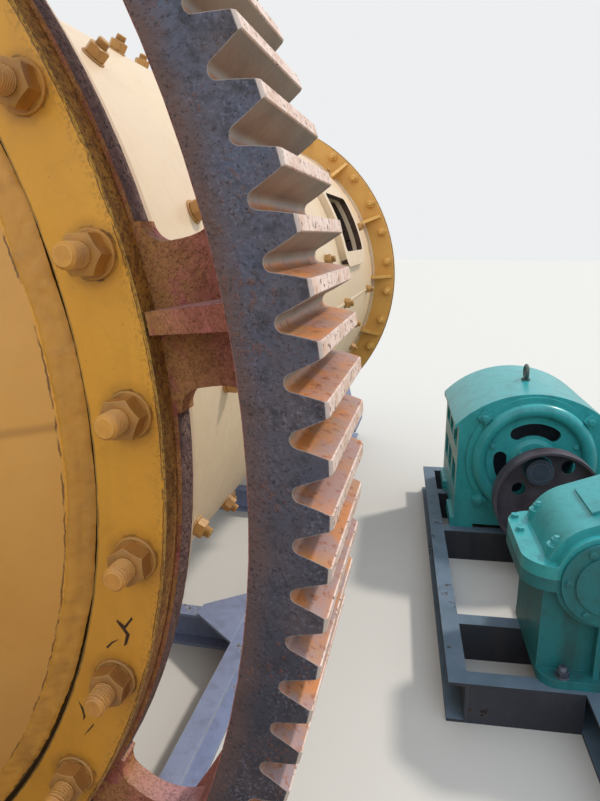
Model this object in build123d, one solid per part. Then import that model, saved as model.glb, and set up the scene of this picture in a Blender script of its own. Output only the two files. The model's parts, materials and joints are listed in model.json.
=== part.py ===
from build123d import *
from math import acos, atan2, cos, degrees, hypot, pi, radians, sin, sqrt, tan
import os

# Ball mill: a horizontal drum on two hollow trunnions, driven by a girth gear,
# with the drive unit (motor and gear reducer) on a skid of its own beside it.
# Lengths are in millimetres and angles in degrees.
# The mill's axis runs along X, Z is up, and the floor is at Z = 0.
# The origin is on the floor at the centre of the four anchor holes.
# The discharge end, with the girth gear, is at -X. The drive unit is at -Y.
# Angles round the drum start at the drive side (-Y) and grow towards the top.

# Drum
AXIS_HEIGHT = 1210
DRUM_LENGTH = 3218
SHELL_RADIUS = 770
SHELL_WALL = 20
LINER_COUNT = 15
LINER_THICKNESS = 38
LINER_GAP = 6
LINER_END_GAP = 40
LINER_ANGLE = 17
COURSE_SEAM_X = -60
DISCHARGE_SEAM_ANGLE = -92.4
FEED_SEAM_ANGLE = -2.4

# Flanges and their bolts
FLANGE_REACH = 120
FLANGE_STEP = 4
HEAD_FLANGE = 32
SHELL_FLANGE = 30
RIB_COUNT = 16
RIB_THICKNESS = 16
RIB_LENGTH = 105
RIB_EDGE = 12
RIB_INSET = 10
DISCHARGE_RIB_ANGLE = 32.3
FEED_RIB_ANGLE = 1.4

# Heads
CONE_EDGE_OFFSET = 23
HEAD_GROOVE_OFFSET = 30
HEAD_GROOVE_WIDTH = 7
HEAD_GROOVE_DEPTH = 14
CONE_ANGLE = 33
HEAD_WALL = 32
HUB_RADIUS = 330
HUB_THICKNESS = 50

# Trunnions and their bearings
TRUNNION_BORE_RADIUS = 170
TRUNNION_WALL = 20
NECK_CHAMFER = 20
TRUNNION_FLANGE = 40
NECK_RADIUS = 262
NECK_LENGTH = 60
COLLAR_RADIUS = 280
COLLAR_WIDTH = 22
JOURNAL_RADIUS = 250
JOURNAL_LENGTH = 300
NOSE_RADIUS = 236
NOSE_LENGTH = 45
SPIGOT_LENGTH = 24
SPIGOT_CLEARANCE = 0.5
BEARING_CLEARANCE = 0.2
BEARING_SIDE_GAP = 7
BEARING_OUTER_RADIUS = 345
BEARING_EAR_WIDTH = 90
BEARING_EAR_HEIGHT = 36
BEARING_FOOT_HEIGHT = 40
BEARING_FOOT_HALF_WIDTH = 450
BEARING_FOOT_LENGTH = 330
BEARING_WAIST_SPREAD = 45
OIL_BOX_WIDTH = 180
OIL_BOX_HEIGHT = 70

# Girth gear
GEAR_MODULE = 16
SPOKE_LENGTH = 121
PRESSURE_ANGLE = 20
ROOT_DEPTH = 1.25
ROOT_ROUND = 0.49
ROOT_ROUND_TURN = 73
BLANK_CHAMFER = 3
GEAR_WIDTH = 214
GEAR_FRONT_OVERHANG = 93
GEAR_SPLIT_ANGLE = -103.31
RIM_DEPTH = 41
GEAR_RING = 33
GEAR_RING_CLEARANCE = 5
GEAR_RING_STEP = 5
SPOKE_COUNT = 8
SPOKE_ANGLE = 10.2
SPOKE_HALF_WIDTH = 78
SPOKE_RING_FLARE = 25
SPOKE_RIM_FLARE = 75
SPOKE_RIB = 24
SPOKE_CLEARANCE = 3
SPLIT_WEB = 26

# Manhole in the feed course
MANHOLE_X = 728
MANHOLE_ANGLE = 22.4
MANHOLE_LENGTH = 506
MANHOLE_WIDTH = 254
MANHOLE_CORNER = 30
MANHOLE_FRAME_WIDTH = 62
MANHOLE_FRAME_HEIGHT = 26

# Base frame of channels
BASE_HALF_LENGTH = 2400
BASE_INNER_HALF_WIDTH = 540
CHANNEL_HEIGHT = 140
CHANNEL_FLANGE = 60
CHANNEL_WEB = 8
CHANNEL_FLANGE_THICKNESS = 10
GUSSETED_MEMBER_X = (-269, 900)
STAND_MEMBER_OFFSET = 252
GUSSET_THICKNESS = 10
GUSSET_REACH = 170
GUSSET_LENGTH = 330
ANCHOR_END_DISTANCE = 150
ANCHOR_WEB_DISTANCE = 35
ANCHOR_RADIUS = 11

# Bearing stands
STAND_LENGTH = 380
STAND_BODY_LENGTH = 300
STAND_PLATE = 25
STAND_FOOT_HALF_WIDTH = 630
STAND_BOTTOM_HALF_WIDTH = 590
STAND_TOP_HALF_WIDTH = 455
STAND_RIB = 20
STAND_RIB_Y = (-300, 0, 300)

# Drive unit: its own frame starts at the near corner of the skid, on the floor,
# with its length along the motor's axis. It stands a little out of line.
DRIVE_CORNER = (-479, -1250)
DRIVE_TURN = 4.2
SKID_LENGTH = 1900
SKID_STEP_LENGTH = 420
SKID_BEAM_V = (0, -400, -1140)
SKID_MEMBER_U = (0, 315, 1055, 1500, 1840)
DRIVE_AXIS_V = -432
DRIVE_AXIS_HEIGHT = 346

# Motor
MOTOR_FRONT_U = 1105
MOTOR_LENGTH = 660
MOTOR_HALF_WIDTH = 328
MOTOR_WALL = 14
MOTOR_END_PLATE = 26
MOTOR_FLOOR_GAP = 18
MOTOR_FOOT_V = 292
MOTOR_FOOT_WIDTH = 104
MOTOR_FOOT_HEIGHT = 46
MOTOR_FOOT_LENGTH = 210
HOOD_RADIUS = 463
HOOD_RISE = 300
HOOD_HALF_WIDTH = 345
SIDE_VENT_COUNT = 3
SIDE_VENT_LENGTH = 150
SIDE_VENT_PITCH = 195
SIDE_VENT_HEIGHT = 115
SIDE_VENT_RISES = (75, -120)
STATOR_RADIUS = 265
STATOR_SHELF = 40
AIR_GAP = 6
SHIELD_FLANGE_RADIUS = 290
SHIELD_RADIUS = 265
SHIELD_DISH_RADIUS = 206
SHIELD_DEPTH = 54
SHIELD_WALL = 16
SHIELD_BOSS_RADIUS = 85
SHIELD_LUG_ANGLE = 49
SHIELD_LUG_WIDTH = 42
SHIELD_LUG_INNER = 270
SHIELD_LUG_OUTER = 316
SHIELD_LUG_DEPTH = 34
VENT_COUNT = 3
VENT_INNER_RADIUS = 114
VENT_OUTER_RADIUS = 172
VENT_SPAN = 66
MOTOR_SHAFT_RADIUS = 40
ROTOR_CORE_RADIUS = 205
ROTOR_CORE_LENGTH = 420
SHAFT_CLEARANCE = 1
HUB_U = 938
HUB_LENGTH = 110
COUPLING_HUB_RADIUS = 56
GUARD_U = 925
GUARD_V = -475
GUARD_RISE = 216
GUARD_RADIUS = 224
GUARD_WIDTH = 75
GUARD_WALL = 10
GUARD_HUB_GAP = 6
GUARD_HOLE_RADIUS = 30
GUARD_HOLES = ((-82, 141), (114, 32))
GUARD_FOOT_HALF_WIDTH = 100
EYE_RADIUS = 30
EYE_BAR_RADIUS = 9
EYE_COLLAR_RADIUS = 20
EYE_U = 1400

# Gear reducer
REDUCER_U = 40
REDUCER_BODY_WIDTH = 400
REDUCER_WALL_SETBACK = 35
REDUCER_SHAFT_SPACING = 430
REDUCER_SMALL_RADIUS = 165
REDUCER_LARGE_RADIUS = 320
PARTING_FLANGE = 40
PARTING_FLANGE_WIDTH = 65
PARTING_CORNER = 95
REDUCER_FOOT_HEIGHT = 28
REDUCER_FOOT_WIDTH = 60
REDUCER_FOOT_CORNER = 60
REDUCER_BOSS_RADIUS = 144
REDUCER_RIB = 16
CAP_RADIUS = 130
CAP_THICKNESS = 14
CAP_CENTRE_RADIUS = 92
CAP_CENTRE_THICKNESS = 22
INSPECTION_LENGTH = 220
INSPECTION_WIDTH = 200
INSPECTION_THICKNESS = 10
INSPECTION_SHIFT = 60
SHAFT_SEAT = 8
OUTPUT_SHAFT_RADIUS = 55
OUTPUT_SHAFT_LENGTH = 150
INPUT_SHAFT_RADIUS = 30
INPUT_SHAFT_LENGTH = 90

# Sizes that follow from the ones above
HALF_LENGTH = DRUM_LENGTH / 2
FLANGE_RADIUS = SHELL_RADIUS + FLANGE_REACH
SHELL_FLANGE_RADIUS = FLANGE_RADIUS - FLANGE_STEP
CONE_EDGE_RADIUS = SHELL_RADIUS + CONE_EDGE_OFFSET
LINER_OUTER_RADIUS = SHELL_RADIUS - SHELL_WALL
GEAR_ROOT_RADIUS = FLANGE_RADIUS + SPOKE_LENGTH + RIM_DEPTH
GEAR_TEETH = 2 * round(GEAR_ROOT_RADIUS / GEAR_MODULE + ROOT_DEPTH)
PITCH_RADIUS = GEAR_MODULE * GEAR_TEETH / 2
TIP_RADIUS = PITCH_RADIUS + GEAR_MODULE
ROOT_RADIUS = PITCH_RADIUS - ROOT_DEPTH * GEAR_MODULE
BASE_CIRCLE_RADIUS = PITCH_RADIUS * cos(radians(PRESSURE_ANGLE))
ROOT_ROUND_RADIUS = ROOT_ROUND * GEAR_MODULE
RIM_INNER_RADIUS = ROOT_RADIUS - RIM_DEPTH
GEAR_RING_RADIUS = FLANGE_RADIUS + GEAR_RING_STEP
TOOTH_PITCH = 360 / GEAR_TEETH
GEAR_FRONT_X = -HALF_LENGTH - GEAR_FRONT_OVERHANG
GEAR_BACK_X = GEAR_FRONT_X + GEAR_WIDTH
RING_FRONT_X = -HALF_LENGTH + HEAD_FLANGE
RING_BACK_X = RING_FRONT_X + GEAR_RING
DISCHARGE_FLANGE_X = RING_BACK_X
FEED_FLANGE_X = HALF_LENGTH - HEAD_FLANGE - SHELL_FLANGE
CONE_HEIGHT = (CONE_EDGE_RADIUS - HUB_RADIUS) * tan(radians(CONE_ANGLE))
JOURNAL_START = CONE_HEIGHT + TRUNNION_FLANGE + NECK_LENGTH + COLLAR_WIDTH
BEARING_X = HALF_LENGTH + JOURNAL_START + JOURNAL_LENGTH / 2
BEARING_LENGTH = JOURNAL_LENGTH - 2 * BEARING_SIDE_GAP
BEARING_BORE_RADIUS = JOURNAL_RADIUS + BEARING_CLEARANCE
STAND_TOP = AXIS_HEIGHT - BEARING_OUTER_RADIUS - BEARING_FOOT_HEIGHT
BASE_END_MEMBER_X = BASE_HALF_LENGTH - CHANNEL_FLANGE / 2
STAND_MEMBER_X = BEARING_X - STAND_MEMBER_OFFSET
ANCHOR_HALF_SPACING_X = BASE_HALF_LENGTH - ANCHOR_END_DISTANCE
ANCHOR_HALF_SPACING_Y = BASE_INNER_HALF_WIDTH + ANCHOR_WEB_DISTANCE
DRIVE_AXIS_Z = CHANNEL_HEIGHT + DRIVE_AXIS_HEIGHT
HOOD_AXIS_Z = DRIVE_AXIS_Z + HOOD_RISE - HOOD_RADIUS
OUTPUT_V = DRIVE_AXIS_V - REDUCER_SHAFT_SPACING


def box(x_range, y_range, z_range):
    """A block between two planes along each axis."""
    size = [high - low for low, high in (x_range, y_range, z_range)]
    middle = [(high + low) / 2 for low, high in (x_range, y_range, z_range)]
    return Pos(*middle) * Box(*size)


def along_x(outline, x_low, x_high):
    """Extrude an outline drawn in (y, z) from one plane across X to another."""
    return Pos(x_low, 0, 0) * extrude(Plane.YZ * outline, x_high - x_low)


def turned(points, arc=360):
    """Revolve an outline of (x, radius) points about the X axis."""
    return revolve(make_face(Polyline(*points, close=True)), Axis.X, arc)


def round_drum(angle):
    """Place a shape that was built at the drive side, on the mill's axis."""
    return Pos(0, 0, AXIS_HEIGHT) * Rot(-angle, 0, 0)


def polar(radius, angle):
    """The (y, z) of a point round the drum's axis."""
    return (-radius * cos(radians(angle)), radius * sin(radians(angle)))


def mirrored_x(shape):
    """The same piece at the other end of the mill."""
    return mirror(shape, Plane.YZ)


def channel_outline(web_y, reach, height):
    """A channel's section in (y, z): its web at web_y, its flanges towards reach."""
    side = 1 if reach > 0 else -1
    inner = web_y + side * CHANNEL_WEB
    tip = web_y + reach
    lip = CHANNEL_FLANGE_THICKNESS
    points = [(web_y, 0), (tip, 0), (tip, lip), (inner, lip)]
    points += [(inner, height - lip), (tip, height - lip), (tip, height), (web_y, height)]
    return make_face(Polyline(*points, close=True))


# Drum

def shell_half(x_low, x_high, start_angle):
    """One of the two rolled plates of a course, half way round the drum."""
    inner = SHELL_RADIUS - SHELL_WALL
    points = [(x_low, inner), (x_high, inner), (x_high, SHELL_RADIUS), (x_low, SHELL_RADIUS)]
    return round_drum(start_angle) * turned(points, 180)


def shell_liners():
    """The wear plates inside the shell, one stave for each row of liner bolts."""
    low, high = DISCHARGE_FLANGE_X + LINER_END_GAP, HALF_LENGTH - HEAD_FLANGE - LINER_END_GAP
    outer = LINER_OUTER_RADIUS
    inner = outer - LINER_THICKNESS
    step = 360 / LINER_COUNT
    gap_angle = degrees(LINER_GAP / inner)
    outline = [(low, inner), (high, inner), (high, outer), (low, outer)]
    stave = turned(outline, step - gap_angle)
    start = LINER_ANGLE - (step - gap_angle) / 2
    staves = [round_drum(start + step * i) * stave for i in range(LINER_COUNT)]
    return Compound([stave - manhole_cutter(0) for stave in staves])


def manhole_cutter(margin):
    """A radial prism over the manhole, larger than it by a margin all round."""
    length = MANHOLE_LENGTH + 2 * margin
    width = MANHOLE_WIDTH + 2 * margin
    outline = RectangleRounded(length, width, MANHOLE_CORNER + margin)
    reach = SHELL_WALL + MANHOLE_FRAME_HEIGHT + LINER_THICKNESS
    prism = extrude(Plane.XZ * outline, 2 * reach, both=True)
    return round_drum(MANHOLE_ANGLE) * Pos(MANHOLE_X, -SHELL_RADIUS, 0) * prism


def manhole_frame():
    """The raised frame welded on the shell round the open manhole."""
    top = SHELL_RADIUS + MANHOLE_FRAME_HEIGHT
    half = MANHOLE_LENGTH / 2 + 2 * MANHOLE_FRAME_WIDTH
    low, high = MANHOLE_X - half, MANHOLE_X + half
    band = turned([(low, SHELL_RADIUS), (high, SHELL_RADIUS), (high, top), (low, top)], 180)
    ring = round_drum(MANHOLE_ANGLE - 90) * band
    return ring & manhole_cutter(MANHOLE_FRAME_WIDTH) - manhole_cutter(0)


def shell_flange(x_low):
    """The ring welded round the end of the shell."""
    x_high = x_low + SHELL_FLANGE
    outer, inner = SHELL_FLANGE_RADIUS, SHELL_RADIUS
    points = [(x_low, inner), (x_high, inner), (x_high, outer), (x_low, outer)]
    return Pos(0, 0, AXIS_HEIGHT) * turned(points)


def flange_ribs(face_x, direction, first_angle):
    """The gusset plates between the shell and its end flange."""
    tip = face_x + direction * RIB_LENGTH
    edge = SHELL_FLANGE_RADIUS - RIB_INSET
    foot = SHELL_RADIUS
    points = [(face_x, -foot), (tip, -foot), (tip, -foot - RIB_EDGE)]
    points += [(face_x + direction * RIB_EDGE, -edge), (face_x, -edge)]
    plate = extrude(make_face(Polyline(*points, close=True)), RIB_THICKNESS / 2, both=True)
    step = 360 / RIB_COUNT
    return Compound([round_drum(first_angle + step * i) * plate for i in range(RIB_COUNT)])


def feed_head():
    """The feed head: a flat bolting flange with a groove inside it, a cone and a thick hub ring."""
    face = HALF_LENGTH
    back = face - HEAD_FLANGE
    slope = radians(CONE_ANGLE)
    hub_face = face + CONE_HEIGHT
    hub_back = hub_face - HUB_THICKNESS
    offset = HEAD_WALL / cos(slope)
    edge_radius = CONE_EDGE_RADIUS - (offset - HEAD_FLANGE) / tan(slope)
    hub_radius = HUB_RADIUS + (HUB_THICKNESS - offset) / tan(slope)
    bore = TRUNNION_BORE_RADIUS + TRUNNION_WALL
    groove = SHELL_RADIUS + HEAD_GROOVE_OFFSET
    floor = face - HEAD_GROOVE_DEPTH
    points = [(back, FLANGE_RADIUS), (face, FLANGE_RADIUS), (face, groove + HEAD_GROOVE_WIDTH)]
    points += [(floor, groove + HEAD_GROOVE_WIDTH), (floor, groove), (face, groove)]
    points += [(face, CONE_EDGE_RADIUS), (hub_face, HUB_RADIUS), (hub_face, bore), (hub_back, bore)]
    points += [(hub_back, hub_radius), (back, edge_radius)]
    return Pos(0, 0, AXIS_HEIGHT) * turned(points)


def feed_trunnion():
    """The hollow trunnion that carries the drum: flange, neck, journal, collars and nose."""
    start = HALF_LENGTH + CONE_HEIGHT
    bore = TRUNNION_BORE_RADIUS
    spigot = bore + TRUNNION_WALL - SPIGOT_CLEARANCE
    flange = start + TRUNNION_FLANGE
    neck = flange + NECK_LENGTH
    journal = neck + COLLAR_WIDTH
    journal_end = journal + JOURNAL_LENGTH
    collar_end = journal_end + COLLAR_WIDTH
    nose = collar_end + NOSE_LENGTH
    points = [(start - SPIGOT_LENGTH, bore), (start - SPIGOT_LENGTH, spigot), (start, spigot)]
    points += [(start, HUB_RADIUS), (flange, HUB_RADIUS), (flange, NECK_RADIUS + NECK_CHAMFER)]
    points += [(flange + NECK_CHAMFER, NECK_RADIUS), (neck, NECK_RADIUS), (neck, COLLAR_RADIUS)]
    points += [(journal, COLLAR_RADIUS), (journal, JOURNAL_RADIUS), (journal_end, JOURNAL_RADIUS)]
    points += [(journal_end, COLLAR_RADIUS), (collar_end, COLLAR_RADIUS)]
    points += [(collar_end, NOSE_RADIUS), (nose, NOSE_RADIUS), (nose, bore)]
    return Pos(0, 0, AXIS_HEIGHT) * turned(points)


# Girth gear

def involute(pressure):
    return tan(pressure) - pressure


def flank_angle(radius):
    """Half the angle that a tooth takes up at a radius, from its involute."""
    pressure = acos(BASE_CIRCLE_RADIUS / radius)
    half_thickness = pi / (2 * GEAR_TEETH) + involute(radians(PRESSURE_ANGLE))
    return degrees(half_thickness - involute(pressure))


def gap_point(gap_angle, turn):
    """A point on the round bottom of a tooth gap, some degrees round from its deepest."""
    reach = ROOT_RADIUS + ROOT_ROUND_RADIUS * (1 - cos(radians(turn)))
    aside = ROOT_ROUND_RADIUS * sin(radians(turn))
    return polar(hypot(reach, aside), gap_angle + degrees(atan2(aside, reach)))


def tooth_flank(middle, side):
    """An involute flank of the tooth at a middle angle, from its round root out to its tip."""
    foot = gap_point(middle + side * TOOTH_PITCH / 2, -side * ROOT_ROUND_TURN)
    radii = (PITCH_RADIUS, TIP_RADIUS)
    return [foot, *(polar(radius, middle + side * flank_angle(radius)) for radius in radii)]


def rim_outline(first_angle):
    """Half of the toothed rim, from the middle of one tooth gap to the one opposite."""
    half_turn = ROOT_ROUND_TURN / 2
    count = GEAR_TEETH // 2
    last_angle = first_angle + count * TOOTH_PITCH
    edges = []
    for index in range(count):
        middle = first_angle + (index + 0.5) * TOOTH_PITCH
        rising, falling = tooth_flank(middle, -1), tooth_flank(middle, 1)
        edges += [ThreePointArc(*rising), Line(rising[-1], falling[-1]), ThreePointArc(*falling)]
        if index:
            gap = middle - TOOTH_PITCH / 2
            bottom = [gap_point(gap, turn) for turn in (-ROOT_ROUND_TURN, 0, ROOT_ROUND_TURN)]
            edges.append(ThreePointArc(*bottom))
    edges.append(ThreePointArc(*(gap_point(first_angle, turn * half_turn) for turn in (0, 1, 2))))
    edges.append(ThreePointArc(*(gap_point(last_angle, -turn * half_turn) for turn in (0, 1, 2))))
    inner = [polar(RIM_INNER_RADIUS, first_angle + turn) for turn in (0, 90, 180)]
    edges.append(Line(polar(ROOT_RADIUS, first_angle), inner[0]))
    edges.append(Line(inner[-1], polar(ROOT_RADIUS, last_angle)))
    edges.append(ThreePointArc(*inner))
    return make_face(edges)


def rim_blank(first_angle):
    """Half of the turned ring that the teeth are cut in, with a chamfer at both of its outer edges."""
    inner, outer = RIM_INNER_RADIUS, TIP_RADIUS
    chamfer = BLANK_CHAMFER
    points = [(GEAR_FRONT_X, inner), (GEAR_FRONT_X, outer - chamfer), (GEAR_FRONT_X + chamfer, outer)]
    points += [(GEAR_BACK_X - chamfer, outer), (GEAR_BACK_X, outer - chamfer), (GEAR_BACK_X, inner)]
    return round_drum(first_angle) * turned(points, 180)


def spoke():
    """One cast spoke at the drive side: a flared web with a rib on each face."""
    ring, rim = GEAR_RING_RADIUS, RIM_INNER_RADIUS
    half = SPOKE_HALF_WIDTH
    bite = GEAR_RING / 4
    corner = 1 - sqrt(0.5)
    a, b = SPOKE_RING_FLARE, SPOKE_RIM_FLARE
    edges = [Line((-ring + bite, -half - a), (-ring + bite, half + a))]
    edges += [Line((-rim - bite, -half - b), (-rim - bite, half + b))]
    for side in (-1, 1):
        near = [(ring, half + a), (ring + a * corner, half + a * corner), (ring + a, half)]
        far = [(rim - b, half), (rim - b * corner, half + b * corner), (rim, half + b)]
        near = [(-r, side * t) for r, t in near]
        far = [(-r, side * t) for r, t in far]
        edges += [Line((-ring + bite, side * (half + a)), near[0]), ThreePointArc(*near)]
        edges += [Line(near[-1], far[0]), ThreePointArc(*far)]
        edges += [Line(far[-1], (-rim - bite, side * (half + b)))]
    web = along_x(make_face(edges), RING_FRONT_X, RING_BACK_X)
    foot = FLANGE_RADIUS + SPOKE_CLEARANCE
    front = [(RING_FRONT_X + bite, -foot), (-HALF_LENGTH, -foot)]
    front += [(GEAR_FRONT_X, -rim), (GEAR_FRONT_X, -rim - bite), (RING_FRONT_X + bite, -rim - bite)]
    back = [(RING_BACK_X - bite, -foot), (RING_BACK_X, -foot)]
    back += [(GEAR_BACK_X, -rim), (GEAR_BACK_X, -rim - bite), (RING_BACK_X - bite, -rim - bite)]
    ribs = [make_face(Polyline(*points, close=True)) for points in (front, back)]
    for rib in ribs:
        web += extrude(rib, SPOKE_RIB / 2, both=True)
    return web


def split_web(side):
    """The bolting web of a gear half beside its split."""
    bite = GEAR_RING / 4
    low, high = sorted((0, side * SPLIT_WEB))
    foot = FLANGE_RADIUS + SPOKE_CLEARANCE
    radial = (-RIM_INNER_RADIUS - bite, -foot)
    return box((GEAR_FRONT_X + bite, GEAR_BACK_X - bite), radial, (low, high))


def gear_half(first_angle):
    """Half of the girth gear: toothed rim, inner ring, four spokes and the two split webs."""
    rim = Pos(0, 0, AXIS_HEIGHT) * along_x(rim_outline(first_angle), GEAR_FRONT_X, GEAR_BACK_X)
    rim &= rim_blank(first_angle)
    inner = SHELL_RADIUS + GEAR_RING_CLEARANCE
    ring_points = [(RING_FRONT_X, inner), (RING_BACK_X, inner)]
    ring_points += [(RING_BACK_X, GEAR_RING_RADIUS), (RING_FRONT_X, GEAR_RING_RADIUS)]
    gear = rim + round_drum(first_angle) * turned(ring_points, 180)
    step = 360 / SPOKE_COUNT
    for index in range(SPOKE_COUNT):
        angle = SPOKE_ANGLE + step * index
        if 0 < (angle - first_angle) % 360 < 180:
            gear += round_drum(angle) * spoke()
    gear += round_drum(first_angle) * split_web(1)
    gear += round_drum(first_angle + 180) * split_web(-1)
    return gear


# Bearings and stands at the feed end

def feed_bearing_housing():
    """The lower half of a trunnion bearing, with its foot and its parting ears."""
    outer = BEARING_OUTER_RADIUS
    ear = outer + BEARING_EAR_WIDTH
    waist = outer + BEARING_WAIST_SPREAD
    foot_top = STAND_TOP + BEARING_FOOT_HEIGHT
    ear_low = AXIS_HEIGHT - BEARING_EAR_HEIGHT
    points = [(-waist, foot_top), (-outer, ear_low), (-ear, ear_low), (-ear, AXIS_HEIGHT)]
    points += [(-y, z) for y, z in reversed(points)]
    low, high = BEARING_X - BEARING_LENGTH / 2, BEARING_X + BEARING_LENGTH / 2
    body = along_x(make_face(Polyline(*points, close=True)), low, high)
    reach = (BEARING_X - BEARING_FOOT_LENGTH / 2, BEARING_X + BEARING_FOOT_LENGTH / 2)
    half = BEARING_FOOT_HALF_WIDTH
    body += box(reach, (-half, half), (STAND_TOP, foot_top))
    return body - bearing_bore()


def bearing_bore():
    rod = Rot(0, 90, 0) * Cylinder(BEARING_BORE_RADIUS, 2 * BEARING_LENGTH)
    return Pos(BEARING_X, 0, AXIS_HEIGHT) * rod


def feed_bearing_cap():
    """The upper half of a trunnion bearing, with its ears and oil box."""
    outer = BEARING_OUTER_RADIUS
    ear = outer + BEARING_EAR_WIDTH
    low, high = BEARING_X - BEARING_LENGTH / 2, BEARING_X + BEARING_LENGTH / 2
    barrel = Pos(BEARING_X, 0, AXIS_HEIGHT) * Rot(0, 90, 0) * Cylinder(outer, BEARING_LENGTH)
    cap = barrel & box((low, high), (-outer, outer), (AXIS_HEIGHT, AXIS_HEIGHT + outer))
    cap += box((low, high), (-ear, ear), (AXIS_HEIGHT, AXIS_HEIGHT + BEARING_EAR_HEIGHT))
    cap -= bearing_bore()
    half = OIL_BOX_WIDTH / 2
    box_low = AXIS_HEIGHT + sqrt(outer ** 2 - half ** 2) - BEARING_EAR_HEIGHT / 4
    box_high = AXIS_HEIGHT + outer + OIL_BOX_HEIGHT
    return cap + box((BEARING_X - half, BEARING_X + half), (-half, half), (box_low, box_high))


def feed_bearing_stand():
    """The welded pedestal between the base frame and a trunnion bearing."""
    floor = CHANNEL_HEIGHT
    plate = STAND_PLATE
    reach = (BEARING_X - STAND_LENGTH / 2, BEARING_X + STAND_LENGTH / 2)
    foot, bottom, top = STAND_FOOT_HALF_WIDTH, STAND_BOTTOM_HALF_WIDTH, STAND_TOP_HALF_WIDTH
    stand = box(reach, (-foot, foot), (floor, floor + plate))
    stand += box(reach, (-top, top), (STAND_TOP - plate, STAND_TOP))
    points = [(-bottom, floor + plate), (bottom, floor + plate)]
    points += [(top - plate, STAND_TOP - plate), (plate - top, STAND_TOP - plate)]
    outline = make_face(Polyline(*points, close=True))
    half = STAND_BODY_LENGTH / 2
    stand += along_x(outline, BEARING_X - half, BEARING_X + half)
    heights = (floor + plate, STAND_TOP - plate)
    for y in STAND_RIB_Y:
        stand += box(reach, (y - STAND_RIB / 2, y + STAND_RIB / 2), heights)
    return stand


# Base frame

def base_beam(side):
    """A long channel of the base frame, with its two anchor holes."""
    outline = channel_outline(side * BASE_INNER_HALF_WIDTH, side * CHANNEL_FLANGE, CHANNEL_HEIGHT)
    beam = along_x(outline, -BASE_HALF_LENGTH, BASE_HALF_LENGTH)
    for x in (-ANCHOR_HALF_SPACING_X, ANCHOR_HALF_SPACING_X):
        place = Pos(x, side * ANCHOR_HALF_SPACING_Y, 0)
        beam -= place * Cylinder(ANCHOR_RADIUS, 2 * CHANNEL_FLANGE_THICKNESS + 2)
    return beam


def cross_members():
    """The channels between the two long beams."""
    height = CHANNEL_HEIGHT - GUSSET_THICKNESS
    half = BASE_INNER_HALF_WIDTH
    outline = channel_outline(-CHANNEL_FLANGE / 2, CHANNEL_FLANGE, height)
    bar = Rot(0, 0, 90) * along_x(outline, -half, half)
    places = [side * x for x in (BASE_END_MEMBER_X, STAND_MEMBER_X) for side in (-1, 1)]
    return Compound([Pos(x, 0, 0) * bar for x in (*places, *GUSSETED_MEMBER_X)])


def base_gussets():
    """The trapezoid plates that widen the ends of the middle cross members."""
    edge, tip = BASE_INNER_HALF_WIDTH, BASE_INNER_HALF_WIDTH - GUSSET_REACH
    long, short = GUSSET_LENGTH / 2, CHANNEL_FLANGE / 2
    level = CHANNEL_HEIGHT - GUSSET_THICKNESS
    plates = []
    for x in GUSSETED_MEMBER_X:
        for side in (-1, 1):
            points = [(x - long, side * edge), (x + long, side * edge)]
            points += [(x + short, side * tip), (x - short, side * tip)]
            outline = Plane.XY.offset(level) * make_face(Polyline(*points, close=True))
            plates.append(extrude(outline, GUSSET_THICKNESS, dir=(0, 0, 1)))
    return Compound(plates)


# Drive unit, in its own frame

def in_place(shape):
    """Move a piece of the drive unit to where the unit stands beside the mill."""
    return Pos(*DRIVE_CORNER, 0) * Rot(0, 0, DRIVE_TURN) * shape


def skid_beams():
    """The long channels of the skid. The outer ones run further towards the discharge end."""
    beams = []
    for index, v in enumerate(SKID_BEAM_V):
        start = 0 if index == 0 else -SKID_STEP_LENGTH
        outline = channel_outline(v - CHANNEL_FLANGE, CHANNEL_FLANGE, CHANNEL_HEIGHT)
        beams.append(along_x(outline, start, SKID_LENGTH))
    return Compound(beams)


def skid_members():
    """The cross channels of the skid, between its long beams."""
    bars = []
    outline = channel_outline(0, -CHANNEL_FLANGE, CHANNEL_HEIGHT)
    for left, right in zip(SKID_BEAM_V, SKID_BEAM_V[1:]):
        low, high = right, left - CHANNEL_FLANGE
        places = list(SKID_MEMBER_U)
        if left != SKID_BEAM_V[0]:
            places.insert(0, -SKID_STEP_LENGTH)
        for u in places:
            bar = Rot(0, 0, 90) * along_x(outline, low, high)
            bars.append(Pos(u, 0, 0) * bar)
    return Compound(bars)


def drive_disc(radius, u_low, u_high):
    """A cylinder on the drive's axis."""
    disc = Rot(0, 90, 0) * Cylinder(radius, u_high - u_low)
    return Pos((u_low + u_high) / 2, DRIVE_AXIS_V, DRIVE_AXIS_Z) * disc


def motor_outline(inset):
    """The motor's end view: side walls under a flat arch, shrunk by a wall's thickness."""
    half = MOTOR_HALF_WIDTH - inset
    radius = HOOD_RADIUS - inset
    floor = CHANNEL_HEIGHT + MOTOR_FLOOR_GAP + inset
    eaves = HOOD_AXIS_Z + sqrt(radius ** 2 - half ** 2)
    left, right = DRIVE_AXIS_V - half, DRIVE_AXIS_V + half
    walls = Polyline((left, eaves), (left, floor), (right, floor), (right, eaves))
    arch = ThreePointArc((right, eaves), (DRIVE_AXIS_V, HOOD_AXIS_Z + radius), (left, eaves))
    return make_face([*walls.edges(), arch])


def motor_hood(low, high):
    """The curved cover plate of the stator housing, which overhangs its side walls."""
    middle = Pos((low + high) / 2, DRIVE_AXIS_V, HOOD_AXIS_Z) * Rot(0, 90, 0)
    sheet = middle * Cylinder(HOOD_RADIUS, high - low)
    sheet -= middle * Cylinder(HOOD_RADIUS - MOTOR_WALL, high - low)
    half = HOOD_HALF_WIDTH
    return sheet & box((low, high), (DRIVE_AXIS_V - half, DRIVE_AXIS_V + half),
                       (DRIVE_AXIS_Z, HOOD_AXIS_Z + HOOD_RADIUS))


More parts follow.
